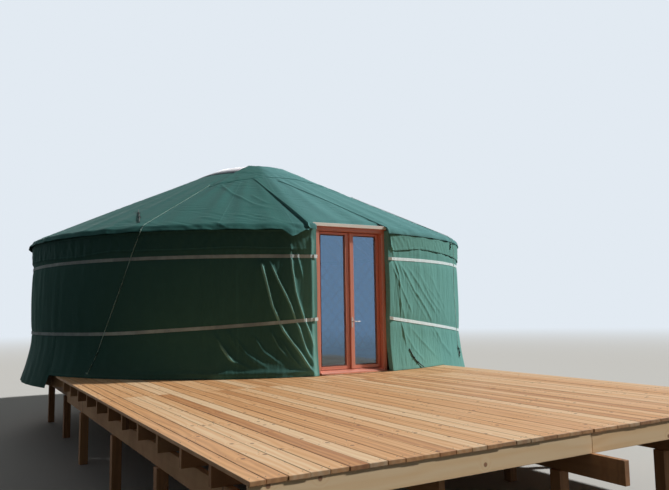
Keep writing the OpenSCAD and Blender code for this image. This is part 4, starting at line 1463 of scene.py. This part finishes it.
@dataclass(frozen=True)
class WallShape:
    """The outside of the wall canvas as a radius for each azimuth and height."""

    radius: float = 3.985
    flare: float = 0.095
    flare_right: float = 0.055
    flare_from: float = 0.5
    least: float = 3.9745
    belt_high: float = 1.68
    belt_left: ClassVar[Line] = (
        (-90, 0.615), (-75, 0.616), (-60, 0.620), (-53, 0.628), (-48, 0.640), (-40, 0.668), (-30, 0.703),
        (-20, 0.745), (-10, 0.792))
    turn_in: ClassVar[Line] = (
        (0.0, -0.080), (0.001, -0.060), (0.0025, -0.020), (0.004, -0.004), (0.007, 0.002), (0.012, 0.003),
        (0.04, 0.004), (0.07, 0.003), (0.10, 0.0))

    def belt_low(self, az: Floats) -> Floats:
        """Height of the lower belt: on each side of the wall it lies in a plane of its own."""
        turn = heading(az)
        x, y = self.radius * np.sin(np.radians(turn)), -self.radius * np.cos(np.radians(turn))
        left = np.interp(turn, *np.array(self.belt_left).T)
        right = 0.476 - 0.139 * (x - 3.7447) + 0.054 * (y + 1.363)
        back = 0.615 - 0.01798 * (x + self.radius)
        return np.where(turn > 0, np.where(turn < 70, right, back), np.where(turn < -90, back, left))

    def flare_at(self, az: Floats, z: Floats) -> Floats:
        """How far the canvas stands out near the floor: it grows with depth to the power 1.5."""
        side = smooth(np.abs(az - 34), 60, 30)
        reach = self.flare + (self.flare_right - self.flare) * side
        return reach * (np.maximum(self.flare_from - z, 0) / self.flare_from) ** 1.5

    def painted_ridge_light(self, az: Floats, z: Floats) -> Floats:
        """How much a place lies on top of a fold or on the lip by the left jamb, 0 to 1: there a paler
        colour paints the light that these ridges catch.
        """
        left = sum(fold.relief(az, z) for fold in LEFT_FOLDS) / 0.046
        right = sum(fold.relief(az, z) for fold in RIGHT_FOLDS) / 0.030
        # the lip by the left jamb gets the painted highlight too
        lip = bell((JAMB_LEFT - az) * WALL_DEGREE - 0.055, 0.045) * (az < 0) * (1 - smooth(z, 1.9, 2.0))
        return np.clip(left + right + 0.8 * lip, 0, 1)

    def radius_at(self, az: Floats, z: Floats) -> Floats:
        """Radius of the canvas at azimuths from -180 to 180 and heights above the floor.

        Wall radius + flare + bulge between the belts - pinch under them + slack and folds, which the
        belts and the jambs hold down, + the lip beside the left jamb and the turned edge of the right.
        """
        low = self.belt_low(az)
        at_belt = np.maximum(bell(z - self.belt_high, 0.07), bell(z - low, 0.07))
        between = np.clip((z - low) / (self.belt_high - low), 0, 1)
        bulge = (0.016 - 0.008 * smooth(az, 0, 30)) * np.sin(math.pi * between) ** 0.8 * (between < 1)
        arc = np.radians(az) * self.radius
        held = 1 - (0.8 - 0.35 * (az < 0)) * at_belt
        slack = 0.0035 * waves(arc, z, 101, 0.22, 2.4) + 0.004 * waves(arc, z, 102, 0.6, 1.6)
        slack = slack + 0.0016 * waves(arc, z, 103, 0.07, 0.5)
        gather = np.exp(-np.abs(z - self.belt_high) / 0.2) + np.exp(-np.abs(z - low) / 0.2)
        slack = slack + 0.004 * gather * waves(arc, z, 104, 0.11, 1.5)
        hem = np.exp(-np.maximum(z - 0.02, 0) / 0.12) * (0.25 + 0.75 * smooth(np.abs(az - 30), 30, 50))
        slack = slack + 0.005 * hem * waves(arc, z, 105, 0.45, 1.0)
        roll = smooth(az, -60, -34) * smooth(-az, 11, 12)
        slack = slack + 0.02 * roll * bell(z - 0.075 - 0.004 * waves(arc, z, 106, 0.5, 9.0), 0.028)
        for fold in LEFT_FOLDS + RIGHT_FOLDS:
            slack = slack + fold.relief(az, z)
        edge_left, edge_right = (JAMB_LEFT - az) * WALL_DEGREE, (az - JAMB_RIGHT) * WALL_DEGREE
        tuck = 0.033 * (1 - smooth(edge_left, 0.0, 0.011)) + 0.008 * (1 - smooth(edge_left, 0.011, 0.05))
        lip = 0.026 * bell(edge_left - 0.098, 0.03) * (1 - 0.7 * smooth(z, 1.9, 2.0))
        inner = np.minimum(np.where(az < 0, edge_left, 1.0), np.where(az > 0, edge_right, 1.0))
        free = smooth(inner, 0.02, 0.08)
        near_left, near_right = (az < 0) & (az > -60), (az > 0) & (az < 60)
        r = self.radius + self.flare_at(az, z) + bulge - 0.008 * at_belt
        out = np.maximum(r + slack * held * free + np.where(near_left, lip, 0), self.least)
        turned_in = np.interp(edge_right, *np.array(self.turn_in).T)
        return out + np.where(near_right, turned_in, 0) - np.where(near_left, tuck, 0)


@dataclass(frozen=True)
class WallCanvas:
    """Wall panels, felt lining, belts and the valance."""

    shape: WallShape
    top: float = 2.105
    skirt: float = -0.18
    over_deck: float = 0.004
    deck_left: float = -71.99
    deck_right: float = 26.69

    def panel(self, shop: Workshop, node: str, columns: Floats, low: float, rows: int) -> None:
        """One panel: a grid over azimuth and height, its radius from the wall's shape.

        The lowest rows turn under as a hem, and the panel's seams and hem carry stitching.
        """
        fall = np.linspace(self.top, low + 0.012, rows)
        whole, z = np.meshgrid(columns, np.append(fall, [low + 0.006, low + 0.001, low, low + 0.003]))
        az, arc = heading(whole), np.radians(whole) * self.shape.radius
        r = self.shape.radius_at(az, z)
        r[-2:] -= np.array([0.004, 0.008])[:, None]
        edge = np.minimum(np.abs(arc - arc[0, 0]), np.abs(arc - arc[0, -1]))
        breadths = np.radians(to_nearest(whole + 4.5, 21.8)) * self.shape.radius
        seam = np.minimum.reduce([breadths, np.abs(z - low - 0.03), np.abs(edge - 0.02)])
        made = shop.cloth(f"{node}_cloth", around(az, r, z), (arc, z), seam, "wall", node,
                          painted_ridge_light=self.shape.painted_ridge_light(az, z))

    def build(self, shop: Workshop) -> None:
        """Makes the panels, the lining, the belts and the valance."""
        left, right, skirt = self.deck_left, self.deck_right, self.skirt
        turn = (360 + left - right) / 4
        for name, columns, low, rows in (
                ("front_left", steps((left, -34, 80), (-34, -10.4, 220), (-10.4, JAMB_LEFT, 22)),
                 self.over_deck, 130),
                ("front_right", steps((JAMB_RIGHT, 8.3, 44), (8.3, right, 200)), self.over_deck, 130),
                ("right", steps((right, 52, 150), (52, right + turn, 60)), skirt, 90),
                ("back_right", steps((right + turn, right + 2 * turn, 160)), skirt, 60),
                ("back_left", steps((right + 2 * turn, right + 3 * turn, 160)), skirt, 60),
                ("left", steps((right + 3 * turn, right + 4 * turn, 160)), skirt, 60)):
            self.panel(shop, f"wall_canvas_{name}", columns, low, rows)
        self.lining(shop)
        self.belts(shop)
        self.valance(shop)

    def lining(self, shop: Workshop) -> None:
        """Felt between the lattice and the canvas, a plain cylinder with slight waves."""
        az, z = np.meshgrid(np.linspace(8.8, 348.6, 240), np.linspace(0.005, 2.08, 14))
        arc = np.radians(az) * 3.966
        r = 3.967 + 0.001 * waves(arc, z, 110, 0.4, 1.0)
        made = shop.cloth("wall_felt", around(az, r, z), (arc, z), np.ones_like(z), "felt", flip=False)

    def belts(self, shop: Workshop) -> None:
        """Two straps round the wall: a flat section carried round it at the belt's height."""
        whole = np.linspace(JAMB_RIGHT + 0.02, 360 + JAMB_LEFT - 0.02, 900)
        az, arc, thick = heading(whole), np.radians(whole), 0.0035
        rise = np.array([-1, -0.97, 0.97, 1, 0.97, -0.97]) * 0.024
        out = np.array([0.5, 1, 1, 0.5, 0, 0]) * thick
        to_jamb = WALL_DEGREE * np.minimum(np.abs(az - JAMB_RIGHT), np.abs(az - JAMB_LEFT))
        for name, z in (("upper", np.full_like(az, self.shape.belt_high)),
                        ("lower", self.shape.belt_low(az))):
            wall = np.max([self.shape.radius_at(az, z + d) for d in (-0.02, 0, 0.02)], 0)
            wall = np.maximum(wall, np.where(to_jamb < 0.06, 3.984 + 0.45 * to_jamb, 0))
            r = wall + thick + 0.0015 * waves(arc * 4, z, 120, 0.3, 1.0)
            points = around(az[:, None], r[:, None] + out, z[:, None] + rise)
            marks = {"uv": spread(arc[:, None] * 3.99, rise)[None]}
            made = shop.place(f"belt_{name}", tubes(points[None], marks), "belt", "wall_belts")

    def valance(self, shop: Workshop) -> None:
        """Strip that hangs from the roof's edge: near plumb, wavier towards its lower edge."""
        whole = steps((8.0, 50, 360), (50, 270, 240), (270, 348.4, 430))
        az, arc = heading(whole), np.radians(whole) * 4
        low = 1.775 + 0.012 * waves(arc, 0 * arc, 130, 1.2, 9.0)
        low = low + 0.075 * bell(az - 22, 18) - 0.03 * bell(az + 70, 10)
        share, top = np.append(np.linspace(0, 0.985, 24), [0.995, 1.0, 0.997])[:, None], 2.055
        z = top + (low - top) * share
        loose = 0.3 + 0.7 * smooth(np.abs(az - 30), 30, 60)
        r = 4.009 - 0.010 * share + loose * (0.002 + 0.006 * share) * waves(arc, z, 131, 0.16, 0.7)
        r = r + loose * 0.005 * share * waves(arc, z, 132, 0.5, 0.9)
        r = r + 0.003 * waves(arc, z, 133, 0.09, 0.16) * smooth(share, 0.0, 0.3)
        r = r + RIGHT_FOLDS[0].relief(az, z) + 0.6 * LEFT_FOLDS[2].relief(az, z - 0.1)
        r[-1] -= 0.002
        r = np.maximum(r, self.shape.radius_at(az, z) + 0.003)
        seam = np.minimum(np.abs(z - low - 0.02), np.abs(z - top + 0.02))
        made = shop.cloth("valance_cloth", around(az, r, z), (arc, z), seam, "valance", "valance")


@dataclass(frozen=True)
class RoofShape:
    """The outside of the roof canvas: a cone whose last hand's breadth dips more steeply."""

    bend: float = 0.10

    @staticmethod
    def plumb(az: Floats | float) -> Floats:
        """0 over the left front, where the hem stands off from the wall, 1 where it hangs plumb."""
        return np.maximum(smooth(az, -12.5, -9.5), smooth(-np.asarray(az), 105, 150))

    def outline(self, run: Floats, az: Floats | float) -> tuple[Floats, Floats, Floats, Floats]:
        """Radius, height and outward normal at a distance below the crown's edge, for an azimuth.

        The run goes down the cone, then round an arc that leaves it at the roof's slope and ends
        at the plunge, and then straight on.
        """
        sin, cos = math.sin(ROOF_PITCH), math.cos(ROOF_PITCH)
        plunge = np.radians(57 + 31 * self.plumb(az))
        r_in = EAVE_RADIUS - 0.018 - 0.025 * self.plumb(az)
        bent = run - (r_in - CROWN_EDGE) / cos
        a = ROOF_PITCH + np.clip(bent / self.bend, 0, plunge - ROOF_PITCH)
        past = np.maximum(bent - self.bend * (plunge - ROOF_PITCH), 0)
        r = np.where(bent < 0, CROWN_EDGE + run * cos,
                     r_in + self.bend * (np.sin(a) - sin) + past * np.cos(plunge))
        z = np.where(bent < 0, roof_height(CROWN_EDGE) - run * sin,
                     roof_height(r_in) + self.bend * (np.cos(a) - cos) - past * np.sin(plunge))
        return r, z, np.sin(a), np.cos(a)

    @staticmethod
    def relief(az: Floats, run: Floats) -> Floats:
        """Wrinkles of the roof canvas.

        Poles show through as low ridges every half facet. Long pulls run down the slope, small
        wrinkles lie across it, and the hem is puckered where it is sewn.
        """
        r = CROWN_EDGE + run * math.cos(ROOF_PITCH)
        arc = np.radians(az) * np.maximum(r, 0.8)
        poles = (az - JAMB_RIGHT) / (LATTICE_TURN / 48) - 0.25
        ridge = 0.010 * np.abs(np.cos(math.pi * poles)) ** 3 * smooth(r, 1.0, 2.4)
        pull = 0.0035 * waves(np.radians(az) * 3.0, run, 140, 0.35, 3.0)
        cross = 0.0028 * waves(arc, run, 141, 1.1, 0.16) * smooth(waves(arc, run, 142, 1.6, 1.3), -0.2, 0.9)
        slant = 0.004 * waves(arc + 0.8 * run, run - 0.8 * arc, 143, 1.4, 0.22)
        slant = slant * smooth(waves(arc, run, 144, 1.3, 1.0), 0.0, 1.0)
        pucker = 0.0015 * bell(run - 3.66, 0.05) * waves(arc, run, 145, 0.09, 0.5)
        hem = np.exp(-np.maximum(3.68 - run, 0) / 0.22)
        pucker = pucker + 0.0035 * hem * waves(arc, run, 146, 0.26, 1.2)
        wrinkles = sum(fold.relief(az, r, np.radians(r)) for fold in ROOF_FOLDS)
        return ridge + pull + cross + slant + pucker + wrinkles


SEAM_LEFT = ((-0.626, -1.464), (-0.848, -3.761))
SEAM_RIGHT = ((-0.284, -1.525), (0.432, -3.740))


def beside(seam: Line, away: float, r: Floats) -> Floats:
    """Azimuth at which a line beside a seam, straight as seen from above, has the radius r.

    The point p0 + t (p1 - p0) has the radius r at the larger root t of a quadratic. The line is
    away / r degrees to the right of it.
    """
    p0, p1 = np.array(seam)
    d = p1 - p0
    a, b, c = d @ d, 2 * p0 @ d, p0 @ p0 - np.clip(r, 0.9, 4.1) ** 2
    t = (-b + np.sqrt(np.maximum(b * b - 4 * a * c, 0))) / (2 * a)
    return np.degrees(np.arctan2(p0[0] + t * d[0], -p0[1] - t * d[1])) + away / np.maximum(r, 0.9)


@dataclass(frozen=True)
class RoofCanvas:
    """Three sheets of roof canvas, their lining, the crown cover and its ropes."""

    shape: RoofShape
    wall: WallShape
    hem_run: float = 3.655
    hem_run_left: float = 3.688
    cover_half: float = 1.46

    def sheet(self, shop: Workshop, part: str, edges: Sequence[Callable[[Floats], Floats | float]],
              columns: Floats, rows: int, lift: Callable[[Floats, Floats, Floats, Floats], Floats],
              last_run: Callable[[Floats], Floats]) -> bpy.types.Object:
        """One roof sheet between two seams.

        Args:
            part: Which sheet it is.
            edges: Azimuth of its two edges for a radius.
            columns: Shares of the way from the left edge to the right, 0 to 1.
            rows: Rows from the crown down.
            lift: Extra height for the distances in metres from the left and the right edge, the
                radius and the azimuth.
            last_run: Where the sheet ends for an azimuth.
        """
        share = np.append(np.linspace(0, 0.93, rows), np.linspace(0.93, 1, rows // 4)[1:])[:, None]
        r = np.full((len(share), len(columns)), 4.0)
        for _ in range(4):
            start, end = (edge(r) for edge in edges)
            az = start + (end - start) * columns
            run = last_run(az) * share
            r, z, out, up = self.shape.outline(run, az)
        arc = np.radians(az) * r
        from_left, from_right = np.abs(arc - arc[:, :1]), np.abs(arc[:, -1:] - arc)
        edge = np.minimum(from_left, from_right)
        h = self.shape.relief(az, run) * smooth(edge, -0.02, 0.1) + lift(from_left, from_right, r, az)
        r, z = r + out * h, z + up * h
        gores = np.radians(to_nearest(az, 15)) * r
        seam = np.minimum.reduce([gores, np.abs(edge - 0.02), np.abs(run[-1:] - run - 0.02)])
        return shop.cloth(f"roof_{part}_cloth", around(az, r, z), (arc, run), seam, "roof",
                          f"roof_canvas_{part}")

    def build(self, shop: Workshop) -> None:
        """Makes the sheets, the lining, the cover and the ropes."""
        def flap(az: Floats) -> Floats:
            """How much the left sheet's corner by the door hangs lower, a triangle from 0 to 1."""
            return np.clip(np.minimum((az + 17.4) / 1.7, (-12.6 - az) / 3.1), 0, 1)

        def left_lift(from_left: Floats, from_right: Floats, r: Floats, az: Floats) -> Floats:
            """The corner by the door stands out from the wall."""
            return 0.035 * flap(az) * smooth(r, 3.99, 4.08) ** 2

        def right_lift(from_left: Floats, from_right: Floats, r: Floats, az: Floats) -> Floats:
            """The lapped edge lies on the wedge as a soft roll."""
            roll = 0.006 + 0.012 * bell(from_left - 0.016, 0.016)
            return roll * smooth(from_left, 0.12, 0.03) * smooth(r, 1.62, 1.75)

        def wedge_lift(from_left: Floats, from_right: Floats, r: Floats, az: Floats) -> Floats:
            """A thick roll along the left edge, and a bend down to the door's batten in front."""
            roll = (0.010 + 0.026 * smooth(r, 1.8, 3.6)) * smooth(r, 1.60, 1.68)
            rise = 0.005 + roll * bell(from_left - 0.024, 0.019)
            front = smooth(r * np.cos(np.radians(az)), 3.77, 3.852)
            front = front * smooth(az, -10.4, -10.0) * smooth(-az, -7.8, -7.4)
            return rise * smooth(from_right, 0.0, 0.05) - 0.022 * front

        def over_door(az: Floats) -> Floats:
            """Run at which the wedge ends: on the door's cap, or at the hem beside it."""
            on_cap = smooth(az, -10.3, -10.0) * (1 - smooth(az, 7.4, 7.7))
            cap_run = (np.minimum(3.892 / np.cos(np.radians(az)), 3.97) - CROWN_EDGE) / math.cos(ROOF_PITCH)
            return cap_run * on_cap + self.hem_run * (1 - on_cap)

        left = self.sheet(shop, "left", (lambda r: -180.0, lambda r: beside(SEAM_LEFT, 1.6, r)),
                          steps((0, 0.5, 110), (0.5, 1, 280)), 120, left_lift,
                          lambda az: self.hem_run_left + 0.15 * flap(az))
        right = self.sheet(shop, "right", (lambda r: beside(SEAM_RIGHT, -0.7, r), lambda r: 180.0),
                           steps((0, 0.03, 30), (0.03, 0.4, 200), (0.4, 1, 120)), 120, right_lift,
                           lambda az: np.full_like(az, self.hem_run))
        wedge = self.sheet(shop, "door", (lambda r: beside(SEAM_LEFT, -0.45, r),
                                          lambda r: beside(SEAM_RIGHT, 1.6, r)),
                           steps((0, 0.12, 26), (0.12, 1, 100)), 130, wedge_lift, over_door)
        self.lining(shop)
        self.cover(shop)
        self.ropes(shop)
        self.ties(shop)

    def lining(self, shop: Workshop) -> None:
        """Felt under the roof canvas, 20 mm below it, cut straight behind the door's head."""
        az, run = np.meshgrid(np.linspace(-180, 180, 240), np.linspace(0.01, 3.5, 14))
        r = CROWN_EDGE + run * math.cos(ROOF_PITCH)
        arc = np.radians(az) * r
        z = roof_height(r) - 0.0215 + 0.0015 * waves(arc, run, 150, 0.4, 1.0)
        r = np.where(np.abs(az + 1.3) < 8.6, np.minimum(r, 3.78 / np.cos(np.radians(az))), r)
        made = shop.cloth("roof_felt", around(az, r, z), (arc, run), np.ones_like(z), "felt", flip=False,
                          slot=Slot.ROOF)

    def cover(self, shop: Workshop) -> None:
        """The crown cover: a square sheet over the crown, folded on its diagonal.

        The grid covers the square. A point (p, q) beyond the fold line q = p goes to (q, p), a
        layer higher. In the middle the whole fold lies some way to the front right. Wrinkles run
        from the corners, where the ropes pull. Under the sheet are the clear cap with its skirt,
        then the roof.
        """
        c = self.cover_half
        p, q = np.meshgrid(np.linspace(-c, c, 136), np.linspace(-c, c, 136))
        aside = 0.16 * (1 - (p / c) ** 2) * (1 - (q / c) ** 2)
        u, v = p + aside, q - aside
        beyond = (q - p) / math.sqrt(2)
        x, y = np.where(beyond > 0, q, p) + aside, np.where(beyond > 0, p, q) - aside
        r = np.hypot(x, y)
        corner = np.minimum(np.hypot(np.abs(x) - c, np.abs(y) - c), 3.0)
        angle = np.arctan2(c - np.abs(y), c - np.abs(x))
        pulls = 0.008 * np.sin(9 * angle + np.sign(x) * 2 + np.sign(y)) * np.exp(-corner / 0.55)
        soft = 0.004 * waves(x, y, 160, 0.35, 0.35) + 0.0025 * waves(x, y, 161, 0.12, 0.3)
        edge = np.minimum(c - np.abs(u), c - np.abs(v))
        h = 0.005 + np.abs(pulls * smooth(corner, 0.02, 0.2)) + np.maximum(soft, -0.001)
        h = (h + 0.003 * np.exp(-np.abs(beyond) / 0.03)) * (0.35 + 0.65 * smooth(edge, 0.0, 0.09))
        h = h + smooth(beyond, -0.012, 0.012) * (0.003 + 0.003 * np.abs(waves(u, v, 162, 0.3, 0.3)))
        roof = roof_height(r) + 0.011 * (1 - smooth(r, 1.15, 1.25))
        cap = np.maximum(cap_height(r) + 0.006, np.where(r > 0.7, roof, 0))
        relief = self.shape.relief(np.degrees(np.arctan2(x, -y)), (r - CROWN_EDGE) / math.cos(ROOF_PITCH))
        z = np.where(r < CAP_RADIUS, cap, roof) + h + relief * smooth(r, 1.15, 1.3)
        made = shop.cloth("cover_cloth", spread(x, y, FLOOR + z), (u, v),
                          np.minimum(np.abs(edge - 0.025), np.abs(u)), "roof", "crown_cover", flip=False)
        thick = made.modifiers.new("cloth", "SOLIDIFY")
        thick.thickness, thick.offset = 0.0016, 1.0

    def rope_line(self, corner: float, eave: float, foot: float) -> Floats:
        """Points of a rope: down the roof, over its edge, and down the wall to an eyelet."""
        r0, r1 = self.cover_half * math.sqrt(2) - 0.02, EAVE_RADIUS - 0.02
        r = np.linspace(r0, r1, 24)
        az = corner + (eave - corner) * (1 / r0 - 1 / r) / (1 / r0 - 1 / r1)
        roof = around(az, r, roof_height(r) + 0.019 + 0.0065 * (1 - smooth(r, r0, r0 + 0.3)))
        edge, fall, _, _ = self.shape.outline(np.linspace(3.60, self.hem_run + 0.03, 6), eave)
        z = np.linspace(1.98, 0.07, 30)
        az = eave + (foot - eave) * (2.095 - z) / 2.025
        r = np.maximum(self.wall.radius + 0.030 + 0.04 * smooth(z, 1.2, 1.98),
                       self.wall.radius_at(az, z) + 0.008)
        return np.concatenate([roof, around(eave, edge + 0.014, fall + 0.008), around(az, r, z)])

    def ropes(self, shop: Workshop) -> None:
        """Three-strand ropes: a lobed section that turns as it is carried along the line."""
        lobed = circle(0.0072, 9) * (1 + 0.14 * np.cos(3 * ring(9)))[:, None]
        parts = []
        for ends in ((-44.5, -45.8, -58.5), (45, 35, 39.8), (135, 137, 149)):
            line = self.rope_line(*ends)
            run = path_run(line)
            fine = np.linspace(0, run[-1], max(20, int(run[-1] / 0.02)))
            path = spread(*(np.interp(fine, run, line[:, k]) for k in range(3)))
            radial = path * (1, 1, 0)
            up = radial / np.linalg.norm(radial, axis=1, keepdims=True) + (0, 0, 0.4)
            parts += [carried(path, lobed, up, turn=fine * 2 * math.pi / 0.04), self.knot(path[0]),
                      self.knot(path[-1])]
        shop.place("corner_ropes", Surface.joined(parts), "rope", "cover_ropes", rounded=True)

    def ties(self, shop: Workshop) -> None:
        """Dark cords that are tied off: one on the roof beside the left rope, three on the right wall."""
        parts = []
        for points in (((-57.5, 3.18, 0), (-53.8, 3.40, 0), (-51.0, 3.60, 0), (-48.3, 3.85, 0)),
                       ((34.6, 4.03, 2.07), (34.8, 4.035, 2.00), (34.7, 4.03, 1.93)),
                       ((13.0, 4.03, 0.31), (14.2, 4.04, 0.17), (15.2, 4.06, 0.10), (17.0, 4.08, 0.02)),
                       ((39.6, 4.03, 0.26), (40.2, 4.05, 0.18), (40.0, 4.06, 0.08))):
            share = np.linspace(0, len(points) - 1, 14 * len(points))
            az, r, z = (np.interp(share, np.arange(len(points)), values) for values in np.array(points).T)
            up = (1.0, 0.2, 0.1)
            if points[0][2] == 0:
                z, up = roof_height(r) + 0.020, (0.3, -0.2, 1.0)
            else:
                r = np.maximum(r - 0.02, self.wall.radius_at(az, z) + 0.010 + 0.016 * (z > 1.7))
            path = around(az, r, z)
            parts += [carried(path, circle(0.008, 8), up), self.knot(path[len(path) // 3], 1.2),
                      self.knot(path[2 * len(path) // 3], 1.2)]
        shop.place("tied_cords", Surface.joined(parts), "cord", rounded=True)

    @staticmethod
    def knot(at: Floats, size: float = 1.0) -> Surface:
        """A tied knot: a short thick cord wound into a trefoil about a point."""
        t = np.linspace(0, 2 * math.pi, 40)
        wound = spread(np.sin(t) + 1.6 * np.sin(2 * t), np.cos(t) - 1.6 * np.cos(2 * t),
                       -1.2 * np.sin(3 * t))
        return carried(at + 0.0065 * size * wound, circle(0.0042 * size, 7), (0.3, 0.2, 1.0), ends=False)


# Stage


@dataclass(frozen=True)
class Studio:
    """Camera, lamps, floor and backdrop."""

    focal: float = 659.897
    yaw: float = 30.237
    pitch: float = 5.719
    roll: float = -0.893
    place: tuple[float, float, float] = (-5.205, -12.158, 1.900)
    image_width: int = 669
    backdrop: Colour = paint(226, 234, 242)
    ground: Colour = paint(216, 214, 208)

    def camera(self) -> None:
        """A camera at the photographed angle, from its heading, its tilt and its roll."""
        yaw, pitch, roll = (math.radians(v) for v in (self.yaw, self.pitch, self.roll))
        ahead = Vector((math.sin(yaw) * math.cos(pitch), math.cos(yaw) * math.cos(pitch), math.sin(pitch)))
        right = Vector((math.cos(yaw), -math.sin(yaw), 0))
        up = right.cross(ahead)
        across = right * math.cos(roll) + up * math.sin(roll)
        above = -right * math.sin(roll) + up * math.cos(roll)
        data = bpy.data.cameras.new("camera")
        data.sensor_fit, data.sensor_width = "HORIZONTAL", 36.0
        data.lens = self.focal / self.image_width * data.sensor_width
        data.clip_end = 300.0
        made = bpy.data.objects.new("camera", data)
        bpy.context.scene.collection.objects.link(made)
        made.matrix_world = Matrix([(across[k], above[k], -ahead[k], self.place[k]) for k in range(3)]
                                   + [(0, 0, 0, 1)])
        bpy.context.scene.camera = made

    @staticmethod
    def lamps() -> None:
        """One key from the right, and a low broad one from behind that reaches the back alone."""
        for name, strength, size, away in (("key", 3.45, 3.0, (0.930, -0.368, 0.81)),
                                           ("back", 0.8, 40.0, (0.20, 0.95, 0.27))):
            data = bpy.data.lights.new(name, "SUN")
            data.energy, data.angle = strength, math.radians(size)
            made = bpy.data.objects.new(name, data)
            made.rotation_mode = "QUATERNION"
            made.rotation_quaternion = Vector(away).to_track_quat("Z", "Y")
            bpy.context.scene.collection.objects.link(made)

    def world(self) -> None:
        """Soft even light, and a pale backdrop where the camera or a gloss looks past the object."""
        world = bpy.data.worlds.new("studio")
        bpy.context.scene.world = world
        s = Sketch.on(world)
        even = s.node("ShaderNodeBackground", {"Color": paint(236, 242, 250), "Strength": 0.075})
        shown = s.node("ShaderNodeBackground", {"Color": self.backdrop, "Strength": 1.0})
        both = s.node("ShaderNodeMixShader", {0: s.seen("Is Glossy Ray", "Is Transmission Ray"),
                                              1: even.outputs[0], 2: shown.outputs[0]})
        s.node("ShaderNodeOutputWorld", {"Surface": both.outputs[0]})

    def floor(self) -> None:
        """A plain round floor that fades into the backdrop far from the object."""
        radii, turn = np.array([0.02, 20.0, 90.0])[:, None], ring(64)
        points = spread(radii * np.cos(turn), radii * np.sin(turn), -0.001)
        made = sheet_grid(points, {}, closed=True).object("floor", False)
        material = bpy.data.materials.new("studio floor")
        s = Sketch.on(material)
        seen = s.seen("Is Glossy Ray")
        lit = s.node("ShaderNodeBsdfDiffuse", {"Color": s.mix(seen, paint(70, 70, 66), self.ground)})
        away = s.node("ShaderNodeVectorMath", {0: s.place()}, operation="LENGTH").outputs["Value"]
        glow = s.node("ShaderNodeEmission", {"Color": self.backdrop, "Strength": 1.0})
        both = s.node("ShaderNodeMixShader", {0: s.times(s.ease(away, 14.0, 60.0), seen),
                                              1: lit.outputs[0], 2: glow.outputs[0]})
        s.node("ShaderNodeOutputMaterial", {"Surface": both.outputs[0]})
        made.data.materials.append(material)

    def build(self) -> None:
        """Makes the whole studio."""
        self.camera()
        self.lamps()
        self.world()
        self.floor()


def main() -> None:
    """Loads the frame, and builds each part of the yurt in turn."""
    logging.basicConfig(level=logging.INFO, format="%(name)s %(message)s")
    FRAME.update(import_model())
    bpy.context.scene.view_settings.view_transform = "Standard"
    Studio().build()
    shop = Workshop()
    for part in (Terrace(), Platform(), Door(), Skeleton(), WallCanvas(WallShape()),
                 RoofCanvas(RoofShape(), WallShape())):
        part.build(shop)


if __name__ == "__main__":
    main()
